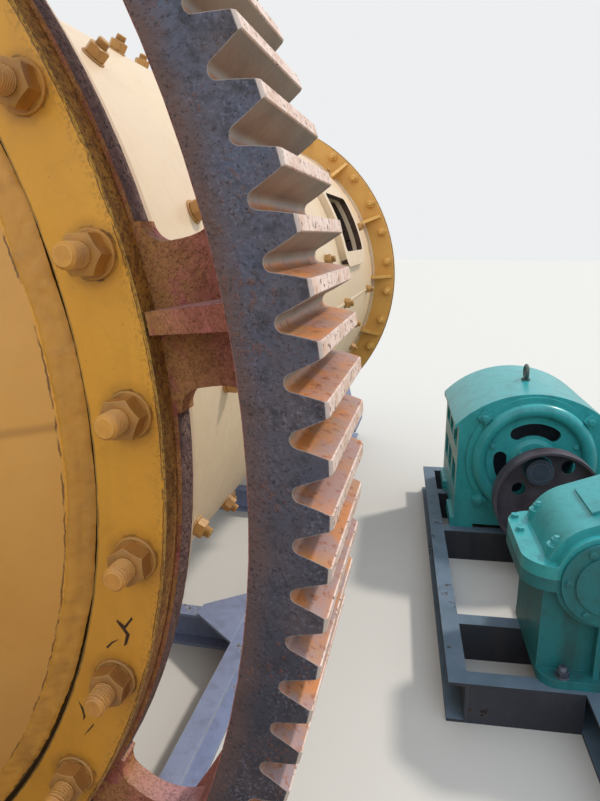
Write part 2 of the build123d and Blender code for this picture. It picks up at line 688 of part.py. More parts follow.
def motor_frame():
    """The stator housing: end plates, vented side walls, hood, four feet and the stator core."""
    low, high = MOTOR_FRONT_U, MOTOR_FRONT_U + MOTOR_LENGTH
    middle = (low + high) / 2
    frame = along_x(motor_outline(0), low, high) + motor_hood(low, high)
    frame -= along_x(motor_outline(MOTOR_WALL), low + MOTOR_END_PLATE, high - MOTOR_END_PLATE)
    across = (DRIVE_AXIS_V - HOOD_HALF_WIDTH, DRIVE_AXIS_V + HOOD_HALF_WIDTH)
    for index in range(SIDE_VENT_COUNT):
        start = middle + (index - (SIDE_VENT_COUNT - 1) / 2) * SIDE_VENT_PITCH - SIDE_VENT_LENGTH / 2
        for rise in SIDE_VENT_RISES:
            heights = (DRIVE_AXIS_Z + rise - SIDE_VENT_HEIGHT / 2, DRIVE_AXIS_Z + rise + SIDE_VENT_HEIGHT / 2)
            frame -= box((start, start + SIDE_VENT_LENGTH), across, heights)
    frame -= drive_disc(SHIELD_RADIUS, low - MOTOR_END_PLATE, high + MOTOR_END_PLATE)
    for side in (-1, 1):
        for start in (low, high - MOTOR_FOOT_LENGTH):
            foot_v = DRIVE_AXIS_V + side * MOTOR_FOOT_V
            v_range = (foot_v - MOTOR_FOOT_WIDTH / 2, foot_v + MOTOR_FOOT_WIDTH / 2)
            u_range = (start, start + MOTOR_FOOT_LENGTH)
            frame += box(u_range, v_range, (CHANNEL_HEIGHT, CHANNEL_HEIGHT + MOTOR_FOOT_HEIGHT))
    core = (middle - ROTOR_CORE_LENGTH / 2, middle + ROTOR_CORE_LENGTH / 2)
    half = MOTOR_HALF_WIDTH - MOTOR_WALL / 2
    stator = box(core, (DRIVE_AXIS_V - half, DRIVE_AXIS_V + half),
                 (DRIVE_AXIS_Z - STATOR_SHELF / 2, DRIVE_AXIS_Z + STATOR_SHELF / 2))
    stator += drive_disc(STATOR_RADIUS, *core)
    return frame + (stator - drive_disc(ROTOR_CORE_RADIUS + AIR_GAP, *core))


def vent(angle):
    """A kidney-shaped opening through a shield."""
    middle = (VENT_INNER_RADIUS + VENT_OUTER_RADIUS) / 2
    width = VENT_OUTER_RADIUS - VENT_INNER_RADIUS
    arc = CenterArc((0, 0), middle, angle - VENT_SPAN / 2, VENT_SPAN)
    return SlotArc(arc, width)


def motor_shield(u_low, direction):
    """An end shield: a dish with vents inside a rounded ring, a bearing boss and four lugs."""
    wall, depth = SHIELD_WALL, SHIELD_DEPTH
    outer, dish, boss = SHIELD_RADIUS, SHIELD_DISH_RADIUS, SHIELD_BOSS_RADIUS
    crest = (outer + dish) / 2
    bore = MOTOR_SHAFT_RADIUS + SHAFT_CLEARANCE
    front = Polyline((0, SHIELD_FLANGE_RADIUS), (-wall, SHIELD_FLANGE_RADIUS), (-wall, outer))
    ring = ThreePointArc((-wall, outer), (-depth, crest), (-wall, dish))
    centre = Polyline((-wall, dish), (-wall, boss + wall), (-2 * wall, boss), (-2 * wall, bore),
                      (wall, bore), (wall, boss), (0, boss + wall), (0, dish))
    hollow = ThreePointArc((0, dish), (wall - depth, crest), (0, outer))
    seat = Line((0, outer), (0, SHIELD_FLANGE_RADIUS))
    disc = revolve(make_face([*front.edges(), ring, *centre.edges(), hollow, seat]), Axis.X)
    sketch = Sketch() + [vent(90 + 360 / VENT_COUNT * i) for i in range(VENT_COUNT)]
    disc -= Pos(-2 * depth, 0, 0) * extrude(Plane.YZ * sketch, 4 * depth)
    half = SHIELD_LUG_WIDTH / 2
    lug = box((-SHIELD_LUG_DEPTH, 0), (-half, half), (SHIELD_LUG_INNER, SHIELD_LUG_OUTER))
    for angle in (SHIELD_LUG_ANGLE, 180 - SHIELD_LUG_ANGLE):
        disc += Rot(angle, 0, 0) * lug
        disc += Rot(-angle, 0, 0) * lug
    if direction > 0:
        disc = mirror(disc, Plane.YZ)
    return Pos(u_low, DRIVE_AXIS_V, DRIVE_AXIS_Z) * disc


def motor_shaft():
    """The rotor: its shaft with the core inside the stator housing."""
    low, high = HUB_U, MOTOR_FRONT_U + MOTOR_LENGTH + SHIELD_DEPTH
    middle = MOTOR_FRONT_U + MOTOR_LENGTH / 2
    core = drive_disc(ROTOR_CORE_RADIUS, middle - ROTOR_CORE_LENGTH / 2, middle + ROTOR_CORE_LENGTH / 2)
    return drive_disc(MOTOR_SHAFT_RADIUS, low, high) + core


def motor_coupling():
    """The hub of the coupling half on the motor's shaft."""
    hub = drive_disc(COUPLING_HUB_RADIUS, HUB_U, HUB_U + HUB_LENGTH)
    return hub - drive_disc(MOTOR_SHAFT_RADIUS, 0, MOTOR_FRONT_U)


def coupling_guard():
    """The round guard on the skid: a band with a plate at its back that the hub passes through."""
    back = GUARD_U + GUARD_WIDTH
    axis = Pos(0, GUARD_V, CHANNEL_HEIGHT + GUARD_RISE) * Rot(0, 90, 0)
    inside = Cylinder(GUARD_RADIUS - GUARD_WALL, GUARD_WIDTH)
    band = axis * Pos(0, 0, GUARD_U + GUARD_WIDTH / 2) * Cylinder(GUARD_RADIUS, GUARD_WIDTH)
    band -= axis * Pos(0, 0, GUARD_U + GUARD_WIDTH / 2 - GUARD_WALL) * inside
    band -= drive_disc(COUPLING_HUB_RADIUS + GUARD_HUB_GAP, GUARD_U, back)
    for across, rise in GUARD_HOLES:
        hole = Rot(0, 90, 0) * Cylinder(GUARD_HOLE_RADIUS, 2 * GUARD_WIDTH)
        band -= Pos(back, GUARD_V + across, CHANNEL_HEIGHT + GUARD_RISE + rise) * hole
    band -= box((GUARD_U, back), (GUARD_V - GUARD_RADIUS, GUARD_V + GUARD_RADIUS), (0, CHANNEL_HEIGHT))
    v_range = (GUARD_V - GUARD_FOOT_HALF_WIDTH, GUARD_V + GUARD_FOOT_HALF_WIDTH)
    return band + box((GUARD_U, back), v_range, (CHANNEL_HEIGHT, CHANNEL_HEIGHT + GUARD_WALL))


def lifting_eye():
    """The eye bolt on top of the motor."""
    top = DRIVE_AXIS_Z + HOOD_RISE
    ring = Rot(90, 0, 0) * Torus(EYE_RADIUS, EYE_BAR_RADIUS)
    collar = Pos(0, 0, EYE_BAR_RADIUS / 2) * Cylinder(EYE_COLLAR_RADIUS, EYE_BAR_RADIUS)
    eye = Pos(0, 0, EYE_RADIUS + EYE_BAR_RADIUS) * ring + collar
    return Pos(EYE_U, DRIVE_AXIS_V, top) * eye


def gear_case_outline(margin):
    """The reducer's side view above its parting plane: two arcs and their tangent."""
    small, large = REDUCER_SMALL_RADIUS + margin, REDUCER_LARGE_RADIUS + margin
    tilt = acos((large - small) / REDUCER_SHAFT_SPACING)
    near = [(DRIVE_AXIS_V + small * cos(a), small * sin(a)) for a in (0, tilt / 2, tilt)]
    far = [(OUTPUT_V + large * cos(a), large * sin(a)) for a in (tilt, (tilt + pi) / 2, pi)]
    edges = [ThreePointArc(*near), Line(near[-1], far[0]), ThreePointArc(*far), Line(far[-1], near[0])]
    return make_face(edges)


def boss_pair(radius, upper):
    """Half-round bearing bosses at both shafts, across the whole width."""
    low, high = REDUCER_U, REDUCER_U + REDUCER_BODY_WIDTH
    rods = []
    for v in (DRIVE_AXIS_V, OUTPUT_V):
        rod = Pos((low + high) / 2, v, DRIVE_AXIS_Z) * Rot(0, 90, 0) * Cylinder(radius, high - low)
        heights = (DRIVE_AXIS_Z, DRIVE_AXIS_Z + radius) if upper else (DRIVE_AXIS_Z - radius, DRIVE_AXIS_Z)
        rods.append(rod & box((low, high), (v - radius, v + radius), heights))
    return rods


def parting_plate(z_low):
    """The bolting flange of a housing half."""
    flange = PARTING_FLANGE_WIDTH
    v_low = OUTPUT_V - REDUCER_LARGE_RADIUS - flange
    v_high = DRIVE_AXIS_V + REDUCER_SMALL_RADIUS + flange
    width = REDUCER_BODY_WIDTH
    outline = RectangleRounded(width, v_high - v_low, PARTING_CORNER)
    plate = extrude(outline, PARTING_FLANGE)
    return Pos(REDUCER_U + width / 2, (v_low + v_high) / 2, z_low) * plate


def reducer_upper():
    """The upper housing: a cover that follows the two gears, with bosses and a flange."""
    low = REDUCER_U + REDUCER_WALL_SETBACK
    high = REDUCER_U + REDUCER_BODY_WIDTH - REDUCER_WALL_SETBACK
    cover = Pos(0, 0, DRIVE_AXIS_Z) * along_x(gear_case_outline(0), low, high)
    for boss in boss_pair(REDUCER_BOSS_RADIUS, True):
        cover += boss
    return cover + parting_plate(DRIVE_AXIS_Z)


def reducer_lower():
    """The lower housing: a deep box with bosses, ribs under them, and a foot flange."""
    low = REDUCER_U + REDUCER_WALL_SETBACK
    high = REDUCER_U + REDUCER_BODY_WIDTH - REDUCER_WALL_SETBACK
    v_low = OUTPUT_V - REDUCER_LARGE_RADIUS
    v_high = DRIVE_AXIS_V + REDUCER_SMALL_RADIUS
    bottom = CHANNEL_HEIGHT
    body = box((low, high), (v_low, v_high), (bottom, DRIVE_AXIS_Z - PARTING_FLANGE))
    body += parting_plate(DRIVE_AXIS_Z - PARTING_FLANGE)
    for boss in boss_pair(REDUCER_BOSS_RADIUS, False):
        body += boss
    u_reach = (REDUCER_U, REDUCER_U + REDUCER_BODY_WIDTH)
    for v in (DRIVE_AXIS_V, OUTPUT_V):
        rib = (v - REDUCER_RIB / 2, v + REDUCER_RIB / 2)
        body += box(u_reach, rib, (bottom, DRIVE_AXIS_Z - PARTING_FLANGE))
    width = high - low + 2 * REDUCER_FOOT_WIDTH
    foot = extrude(RectangleRounded(width, v_high - v_low, REDUCER_FOOT_CORNER), REDUCER_FOOT_HEIGHT)
    middle = (REDUCER_U + REDUCER_BODY_WIDTH / 2, (v_low + v_high) / 2)
    return body + Pos(*middle, bottom) * foot


def reducer_cap(shaft_radius):
    """A bearing cover that faces -X, with a raised centre and a hole for its shaft."""
    cap = Pos(-CAP_THICKNESS / 2, 0, 0) * Rot(0, 90, 0) * Cylinder(CAP_RADIUS, CAP_THICKNESS)
    centre = Rot(0, 90, 0) * Cylinder(CAP_CENTRE_RADIUS, CAP_CENTRE_THICKNESS)
    cap += Pos(-CAP_CENTRE_THICKNESS / 2, 0, 0) * centre
    if shaft_radius:
        cap -= Rot(0, 90, 0) * Cylinder(shaft_radius + SHAFT_SEAT, 4 * CAP_CENTRE_THICKNESS)
    return cap


def reducer_caps():
    """The round bearing covers on the faces of the reducer."""
    near, far = REDUCER_U, REDUCER_U + REDUCER_BODY_WIDTH
    caps = [
        Pos(near, DRIVE_AXIS_V, DRIVE_AXIS_Z) * reducer_cap(0),
        Pos(far, DRIVE_AXIS_V, DRIVE_AXIS_Z) * mirror(reducer_cap(INPUT_SHAFT_RADIUS), Plane.YZ),
        Pos(near, OUTPUT_V, DRIVE_AXIS_Z) * reducer_cap(OUTPUT_SHAFT_RADIUS),
        Pos(far, OUTPUT_V, DRIVE_AXIS_Z) * mirror(reducer_cap(0), Plane.YZ),
    ]
    return Compound(caps)


def shaft_end(radius, length):
    """A shaft end that points to -X, with the thicker seat that fills its cover's hole."""
    depth = CAP_CENTRE_THICKNESS
    seat = Pos(-depth / 2, 0, 0) * Rot(0, 90, 0) * Cylinder(radius + SHAFT_SEAT, depth)
    return seat + Pos(-depth - length / 2, 0, 0) * Rot(0, 90, 0) * Cylinder(radius, length)


def reducer_shafts():
    """The ends of the input shaft, towards the motor, and of the output shaft."""
    far = REDUCER_U + REDUCER_BODY_WIDTH
    input_end = mirror(shaft_end(INPUT_SHAFT_RADIUS, INPUT_SHAFT_LENGTH), Plane.YZ)
    output_end = shaft_end(OUTPUT_SHAFT_RADIUS, OUTPUT_SHAFT_LENGTH)
    return Compound([
        Pos(far, DRIVE_AXIS_V, DRIVE_AXIS_Z) * input_end,
        Pos(REDUCER_U, OUTPUT_V, DRIVE_AXIS_Z) * output_end,
    ])


def inspection_cover():
    """The lid on the sloping top of the upper housing, beside the input shaft."""
    rise = REDUCER_LARGE_RADIUS - REDUCER_SMALL_RADIUS
    slope = degrees(acos(rise / REDUCER_SHAFT_SPACING))
    top_mid = (REDUCER_SMALL_RADIUS + REDUCER_LARGE_RADIUS) / 2
    lid = Box(INSPECTION_WIDTH, INSPECTION_LENGTH, INSPECTION_THICKNESS)
    lid = Pos(0, INSPECTION_SHIFT, top_mid + INSPECTION_THICKNESS / 2) * lid
    middle = Pos(REDUCER_U + REDUCER_BODY_WIDTH / 2, (DRIVE_AXIS_V + OUTPUT_V) / 2, DRIVE_AXIS_Z)
    return middle * Rot(slope - 90, 0, 0) * lid


def all_nodes():
    """Every piece by its name."""
    nodes = {}
    nodes["base_beam_drive_side"] = base_beam(-1)
    nodes["base_beam_far_side"] = base_beam(1)
    nodes["base_cross_members"] = cross_members()
    nodes["base_gussets"] = base_gussets()
    ends = {"stand": feed_bearing_stand(), "housing": feed_bearing_housing(), "cap": feed_bearing_cap()}
    for name, piece in ends.items():
        nodes["feed_bearing_" + name] = piece
        nodes["discharge_bearing_" + name] = mirrored_x(piece)
    shell_start, shell_end = DISCHARGE_FLANGE_X, HALF_LENGTH - HEAD_FLANGE
    near_course = (shell_start, COURSE_SEAM_X)
    far_course = (COURSE_SEAM_X, shell_end)
    nodes["shell_discharge_drive_half"] = shell_half(*near_course, DISCHARGE_SEAM_ANGLE)
    nodes["shell_discharge_far_half"] = shell_half(*near_course, DISCHARGE_SEAM_ANGLE + 180)
    nodes["shell_feed_upper_half"] = shell_half(*far_course, FEED_SEAM_ANGLE) - manhole_cutter(0)
    nodes["shell_feed_lower_half"] = shell_half(*far_course, FEED_SEAM_ANGLE + 180)
    nodes["shell_liners"] = shell_liners()
    nodes["manhole_frame"] = manhole_frame()
    nodes["discharge_shell_flange"] = shell_flange(DISCHARGE_FLANGE_X)
    nodes["feed_shell_flange"] = shell_flange(FEED_FLANGE_X)
    nodes["discharge_flange_ribs"] = flange_ribs(DISCHARGE_FLANGE_X + SHELL_FLANGE, 1, DISCHARGE_RIB_ANGLE)
    nodes["feed_flange_ribs"] = flange_ribs(FEED_FLANGE_X, -1, FEED_RIB_ANGLE)
    nodes["feed_head"] = feed_head()
    nodes["discharge_head"] = mirrored_x(nodes["feed_head"])
    nodes["feed_trunnion"] = feed_trunnion()
    nodes["discharge_trunnion"] = mirrored_x(nodes["feed_trunnion"])
    nodes["girth_gear_drive_half"] = gear_half(GEAR_SPLIT_ANGLE)
    nodes["girth_gear_far_half"] = gear_half(GEAR_SPLIT_ANGLE + 180)
    drive = {
        "skid_long_beams": skid_beams(),
        "skid_cross_members": skid_members(),
        "motor_frame": motor_frame(),
        "motor_front_shield": motor_shield(MOTOR_FRONT_U, -1),
        "motor_rear_shield": motor_shield(MOTOR_FRONT_U + MOTOR_LENGTH, 1),
        "motor_lifting_eye": lifting_eye(),
        "motor_rotor_shaft": motor_shaft(),
        "motor_coupling": motor_coupling(),
        "coupling_guard": coupling_guard(),
        "reducer_upper_housing": reducer_upper(),
        "reducer_lower_housing": reducer_lower(),
        "reducer_bearing_caps": reducer_caps(),
        "reducer_shaft_ends": reducer_shafts(),
        "reducer_inspection_cover": inspection_cover(),
    }
    for name, piece in drive.items():
        nodes[name] = in_place(piece)
    return nodes


os.makedirs("parts", exist_ok=True)
for node_name, node_shape in all_nodes().items():
    export_step(node_shape, "parts/" + node_name + ".step")
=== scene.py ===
# %% [markdown]
# A ball mill grinds ore in a turning drum. This lesson dresses the plain metal model of one in paint,
# rust, bolts and weld beads. The shapes that carry load come from the frame and stay where they are.
# Lengths are metres. X runs along the drum, Z is up, and the drive unit stands at negative Y.

# %% Load the frame and note its size
import json
import random
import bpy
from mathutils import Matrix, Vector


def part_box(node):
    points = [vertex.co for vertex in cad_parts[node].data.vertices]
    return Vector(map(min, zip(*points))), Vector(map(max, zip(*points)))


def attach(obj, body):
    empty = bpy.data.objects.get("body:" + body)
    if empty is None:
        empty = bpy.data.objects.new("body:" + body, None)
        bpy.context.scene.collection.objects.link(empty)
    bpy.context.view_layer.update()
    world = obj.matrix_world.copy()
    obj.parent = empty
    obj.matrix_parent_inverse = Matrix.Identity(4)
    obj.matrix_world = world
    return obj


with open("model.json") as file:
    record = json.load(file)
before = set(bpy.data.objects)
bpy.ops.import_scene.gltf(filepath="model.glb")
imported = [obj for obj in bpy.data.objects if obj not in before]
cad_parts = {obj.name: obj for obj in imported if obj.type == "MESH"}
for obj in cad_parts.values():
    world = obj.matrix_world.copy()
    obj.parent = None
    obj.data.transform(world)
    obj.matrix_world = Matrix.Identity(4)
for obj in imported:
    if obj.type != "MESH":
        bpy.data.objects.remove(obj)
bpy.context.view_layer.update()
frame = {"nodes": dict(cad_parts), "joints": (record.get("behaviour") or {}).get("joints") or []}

from fnmatch import fnmatch
from math import cos, pi, radians, sin, sqrt

import bmesh
import bpy
from mathutils import Matrix, Vector, noise

nodes = frame["nodes"]
print("pieces in the frame:", len(nodes))

# %% [markdown]
# Every later step needs a few places on the mill, read from the frame's own boxes where a box shows
# them. The drive unit stands a little out of line with the drum, so its places are in millimetres along
# its motor's axis, across it and up from the floor.

# %% Places on the mill
MM = 0.001
joints = {joint["name"]: joint for joint in frame["joints"]}
AXIS_Z = joints["drum_spin"]["pos_m"][2]
HEAD_FLANGE = 32 * MM
FEED_STACK_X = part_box("feed_shell_flange")[0][0]
FEED_FACE_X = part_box("feed_shell_flange")[1][0] + HEAD_FLANGE
FACE_X = -FEED_FACE_X
DISCHARGE_STACK_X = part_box("discharge_shell_flange")[1][0]
SHELL_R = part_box("shell_feed_lower_half")[1][1]
TIP_R, RIM_R, RING_R = 1088 * MM, 1011 * MM, 895 * MM
print("drum faces at", round(FACE_X, 4), round(FEED_FACE_X, 4), "shell radius", round(SHELL_R, 4))

MOTOR_AXIS = Vector(joints["motor_spin"]["pos_m"])
ALONG = Vector(joints["motor_spin"]["axis"]).normalized()
ACROSS = Vector((-ALONG.y, ALONG.x, 0))
AXIS_HEIGHT = MOTOR_AXIS.z / MM
JOINT_U = 1000
INPUT_V, OUTPUT_V = -432, -862
print("motor axis", round(AXIS_HEIGHT), "mm high")


def drum_point(x, radius, angle):
    """A place round the drum: angle 0 is the drive side, 90 the top."""
    return Vector((x, -radius * cos(radians(angle)), AXIS_Z + radius * sin(radians(angle))))


def drive_point(along_mm, across_mm, height_mm):
    """A place on the drive unit, in its own directions."""
    level = Vector((MOTOR_AXIS.x, MOTOR_AXIS.y, 0)) + ALONG * ((along_mm - JOINT_U) * MM)
    return level + ACROSS * ((across_mm - INPUT_V) * MM) + Vector((0, 0, height_mm * MM))


# %% [markdown]
# The camera stands where the photographer stood: just outside the girth gear, at eye height, looking
# along the drum and a little down. Its lens is that of a telephone, given for a 36 mm wide sensor.

# %% Camera
def new_object(name, data):
    """A new object in the scene."""
    thing = bpy.data.objects.new(name, data)
    bpy.context.scene.collection.objects.link(thing)
    return thing


CAMERA_PLACE = Vector((-2.2058, -1.1702, 1.4546))
CAMERA_AIM = Vector((0.9454, 0.2098, -0.2495))
camera = new_object("camera", bpy.data.cameras.new("camera"))
camera.location = CAMERA_PLACE
camera.rotation_euler = CAMERA_AIM.to_track_quat("-Z", "Y").to_euler()
camera.data.lens = 28.70
camera.data.sensor_width = 36
camera.data.clip_start = 0.02
bpy.context.scene.camera = camera
bpy.context.scene.view_settings.view_transform = "Standard"
print("camera at", tuple(CAMERA_PLACE), "with a lens of", round(camera.data.lens, 1), "mm")

# %% [markdown]
# Colours are written as the hex values that a paint shop would give, and one function turns them to the
# linear values that the renderer works in. Another adds a shader node with its settings and links. The
# node met most is Map Range: inputs 1 and 2 are the limits that value 0 comes from, 3 and 4 those it
# goes to, and left out they are 0 and 1.

# %% Colour and node helpers
def hexa(code):
    """A linear colour from an sRGB hex code."""
    parts = [int(code[i:i + 2], 16) / 255 for i in (1, 3, 5)]
    linear = [p / 12.92 if p <= 0.04045 else ((p + 0.055) / 1.055) ** 2.4 for p in parts]
    return (*linear, 1.0)


def add(tree, kind, inputs=None, **settings):
    """Add a shader node, set it up and link or fill its inputs. A node stands for its first output."""
    node = tree.nodes.new("ShaderNode" + kind)
    for name, value in settings.items():
        setattr(node, name, value)
    for key, value in (inputs or {}).items():
        if isinstance(value, bpy.types.Node):
            value = value.outputs[0]
        if isinstance(value, bpy.types.NodeSocket):
            tree.links.new(value, node.inputs[key])
        else:
            node.inputs[key].default_value = value
    return node


def new_material(name):
    """An empty node material, with a node for its coordinates."""
    material = bpy.data.materials.new(name)
    material.use_nodes = True
    tree = material.node_tree
    tree.nodes.clear()
    add(tree, "TexCoord", name="coordinates")
    return material, tree


def place_in(tree):
    """The object coordinates in a material, in metres."""
    return tree.nodes["coordinates"].outputs["Object"]


def grain(tree, size_mm, low=0.0, high=1.0, detail=4.0, vector=None):
    """A noise pattern of that feature size, stretched so that low to high fills 0 to 1."""
    settings = {"Vector": vector or place_in(tree), "Scale": 1 / (size_mm * MM), "Detail": detail,
                "Roughness": 0.55}
    return add(tree, "MapRange", {0: add(tree, "TexNoise", settings), 1: low, 2: high})


# %% [markdown]
# A mask is a number from 0 to 1 at each point of a surface. Most finishes are one colour laid over
# another where a mask is 1, and masks are multiplied to keep rust or dirt to one zone.

# %% Mask helpers
def times(tree, *masks):
    """Masks multiplied."""
    result = masks[0]
    for mask in masks[1:]:
        result = add(tree, "Math", {0: result, 1: mask}, operation="MULTIPLY")
    return result


def band(tree, value, low, high, soft):
    """A mask that is 1 between low and high, in metres, and fades over a soft edge."""
    rise = add(tree, "MapRange", {0: value, 1: low - soft, 2: low})
    return times(tree, rise, add(tree, "MapRange", {0: value, 1: high + soft, 2: high}))


def over(tree, below, above, *masks):
    """One colour laid over another where the masks, multiplied, are 1."""
    below, above = (hexa(colour) if isinstance(colour, str) else colour for colour in (below, above))
    colours = {0: times(tree, *masks), 6: below, 7: above}
    return add(tree, "Mix", colours, data_type="RGBA").outputs[2]


def edges_worn(tree, reach_mm):
    """A mask that is 1 on outer edges, where the rounded surface turns away from the flat one."""
    round_normal = add(tree, "Bevel", {"Radius": reach_mm * MM}, samples=4)
    true_normal = add(tree, "NewGeometry").outputs["True Normal"]
    same = add(tree, "VectorMath", {0: round_normal, 1: true_normal}, operation="DOT_PRODUCT")
    return add(tree, "MapRange", {0: same.outputs["Value"], 1: 0.98, 2: 0.88})


def round_axis(tree):
    """The radius from the drum's axis, and the angle round it in turns of a circle."""
    from_axis = {0: place_in(tree), 1: (0, 0, AXIS_Z)}
    offset = add(tree, "VectorMath", from_axis, operation="SUBTRACT")
    across = add(tree, "VectorMath", {0: offset, 1: (0, 1, 1)}, operation="MULTIPLY")
    radius = add(tree, "VectorMath", {0: across}, operation="LENGTH").outputs["Value"]
    parts = add(tree, "SeparateXYZ", {0: offset})
    back = times(tree, parts.outputs[1], -1.0)
    angle = add(tree, "Math", {0: parts.outputs[2], 1: back}, operation="ARCTAN2")
    turns = add(tree, "Math", {0: angle, 1: 2 * pi}, operation="DIVIDE")
    return radius, turns


def wandering(tree, value, size_mm, reach_mm):
    """A distance that strays by noise, for the ragged line of a crack or a brush stroke."""
    stray = grain(tree, size_mm, 0, 1, detail=5.0)
    stray = add(tree, "MapRange", {0: stray, 3: -reach_mm * MM, 4: reach_mm * MM})
    return add(tree, "Math", {0: value, 1: stray}, operation="ADD")


def finish_surface(tree, colour, rough, metallic=0.0, relief=(), round_edge=1.2):
    """Join colour, roughness and stacked bumps to one surface. Relief is (height, distance in mm)."""
    normal = add(tree, "Bevel", {"Radius": round_edge * MM}, samples=3)
    for height, distance in relief:
        bump = {"Height": height, "Distance": distance * MM, "Strength": 1.0, "Normal": normal}
        normal = add(tree, "Bump", bump)
    coat = {"Base Color": colour, "Roughness": rough, "Metallic": metallic, "Normal": normal}
    add(tree, "OutputMaterial", {"Surface": add(tree, "BsdfPrincipled", coat)})


# %% [markdown]
# The mill was brushed with alkyd enamel over rust and old paint, years ago. Such a coat is half glossy
# and slightly wavy. It fades in patches, holds dust, and flakes only where rust lifts it. One function
# lays these layers in order, and each painted piece gives it its own colours and damage.

# %% Enamel paint
def enamel(name, paint, faded, grime, rust="#8A4A24", chips=0.0, bare=None, grime_level=0.3, rough=0.42,
           lumps=1.0, wear=0.0, worn="#D8C7A0", marks=None):
    """Brushed enamel on steel: patches of fading, grime, specks of rust, chips and worn edges."""
    material, tree = new_material(name)
    colour = over(tree, paint, faded, grain(tree, 380, 0.35, 0.65))
    stretched = add(tree, "Mapping", {"Vector": place_in(tree), "Scale": (1.0, 1.0, 0.18)})
    streak = grain(tree, 70, 0.5, 0.75, vector=stretched)
    colour = over(tree, colour, grime, streak, grime_level)
    colour = over(tree, colour, grime, grain(tree, 26, 0.5, 0.78), grime_level * 0.6)
    speck = grain(tree, 3.5, 0.68, 0.71)
    colour = over(tree, colour, rust, speck, grain(tree, 45, 0.45, 0.65), 0.6)
    dull = None
    if marks:
        colour, dull = marks(tree, colour)
    damage = None
    if chips:
        zone = grain(tree, 190, 0.62 - 0.2 * chips, 0.66 - 0.2 * chips)
        colour = over(tree, colour, rust, zone, grain(tree, 22, 0.545, 0.56, detail=8.0))
        damage = times(tree, zone, grain(tree, 22, 0.56, 0.575, detail=8.0))
        colour = over(tree, colour, bare, damage)
    if wear:
        colour = over(tree, colour, worn, edges_worn(tree, 2.0), wear)
    relief = [(grain(tree, 60), 1.6 * lumps), (grain(tree, 9), 0.35 * lumps)]
    roughness = add(tree, "MapRange", {0: grain(tree, 50), 3: rough - 0.08, 4: rough + 0.1})
    if dull:
        roughness = add(tree, "Math", {0: roughness, 1: times(tree, dull, 0.5)})
        relief.append((times(tree, dull, grain(tree, 5)), 2.0))
    if damage:
        roughness = add(tree, "Math", {0: roughness, 1: times(tree, damage, 0.4)})
        dip = add(tree, "Math", {0: 1.0, 1: damage}, operation="SUBTRACT")
        relief.insert(0, (dip, 0.6))
    finish_surface(tree, colour, roughness, relief=relief)
    return material


# %% [markdown]
# The heads carry more marks than the rest. Grease and dust gather round each washer, dirt fills the
# groove inside the flange, and the paint has cracked in a broken ring along both edges of the flange.
# The cone is painted paler as lit, and the face, the groove and the rim are painted darker low down as
# shade. These marks follow the radius and the angle round the drum, so they are worked out from both,
# and the painted shade from the height.

# %% Marks on the heads
BOLT_CIRCLE = 855 * MM
BOLTS = 32
NEAR_BOLT_ANGLE = 26.64
FAR_BOLT_ANGLE = 52.0
CONE_R = 774 * MM
GROOVE_R = 800 * MM
EDGE_R = 887 * MM
CONE_SEAM_ANGLE = 3.4


def cone_finish(tree, radius, turns, colour):
    """The cone inside the flange, painted paler as the light it catches, with the thin line of its seam.
    """
    cone = band(tree, wandering(tree, radius, 60, 3), 0, CONE_R, 2 * MM)
    # Painted light: the cone is paler, as if lit.
    pale = over(tree, "#E0A65C", "#D2964C", grain(tree, 240, 0.35, 0.65))
    colour = over(tree, colour, pale, cone, 0.75)
    turned = add(tree, "Math", {0: turns, 1: CONE_SEAM_ANGLE / 360}, operation="SUBTRACT")
    aside = add(tree, "Math", {0: turned}, operation="ABSOLUTE")
    seam = add(tree, "MapRange", {0: wandering(tree, aside, 30, 0.3), 1: 0.0016, 2: 0.0004})
    return over(tree, colour, "#8A5A28", cone, seam, 0.4)


def bolt_dirt(tree, radius, turns, colour, first_angle):
    """A soft halo of oily grime round each washer, and a dark line at its rim."""
    steps = add(tree, "Math", {0: turns, 1: BOLTS, 2: 0.5 - first_angle * BOLTS / 360},
                operation="MULTIPLY_ADD")
    part = add(tree, "Math", {0: steps}, operation="FRACT")
    half_step = pi * BOLT_CIRCLE / BOLTS
    aside = add(tree, "MapRange", {0: part, 3: -half_step, 4: half_step})
    out = add(tree, "Math", {0: radius, 1: BOLT_CIRCLE}, operation="SUBTRACT")
    offset = add(tree, "CombineXYZ", {0: aside, 1: out})
    distance = add(tree, "VectorMath", {0: offset}, operation="LENGTH").outputs["Value"]
    distance = wandering(tree, distance, 14, 5)
    halo = add(tree, "MapRange", {0: distance, 1: 38 * MM, 2: 27 * MM})
    colour = over(tree, colour, "#6A4420", halo, 0.3)
    line = add(tree, "MapRange", {0: distance, 1: 28.5 * MM, 2: 26.8 * MM})
    return over(tree, colour, "#3A2412", line, grain(tree, 24, 0.42, 0.6), 0.8)


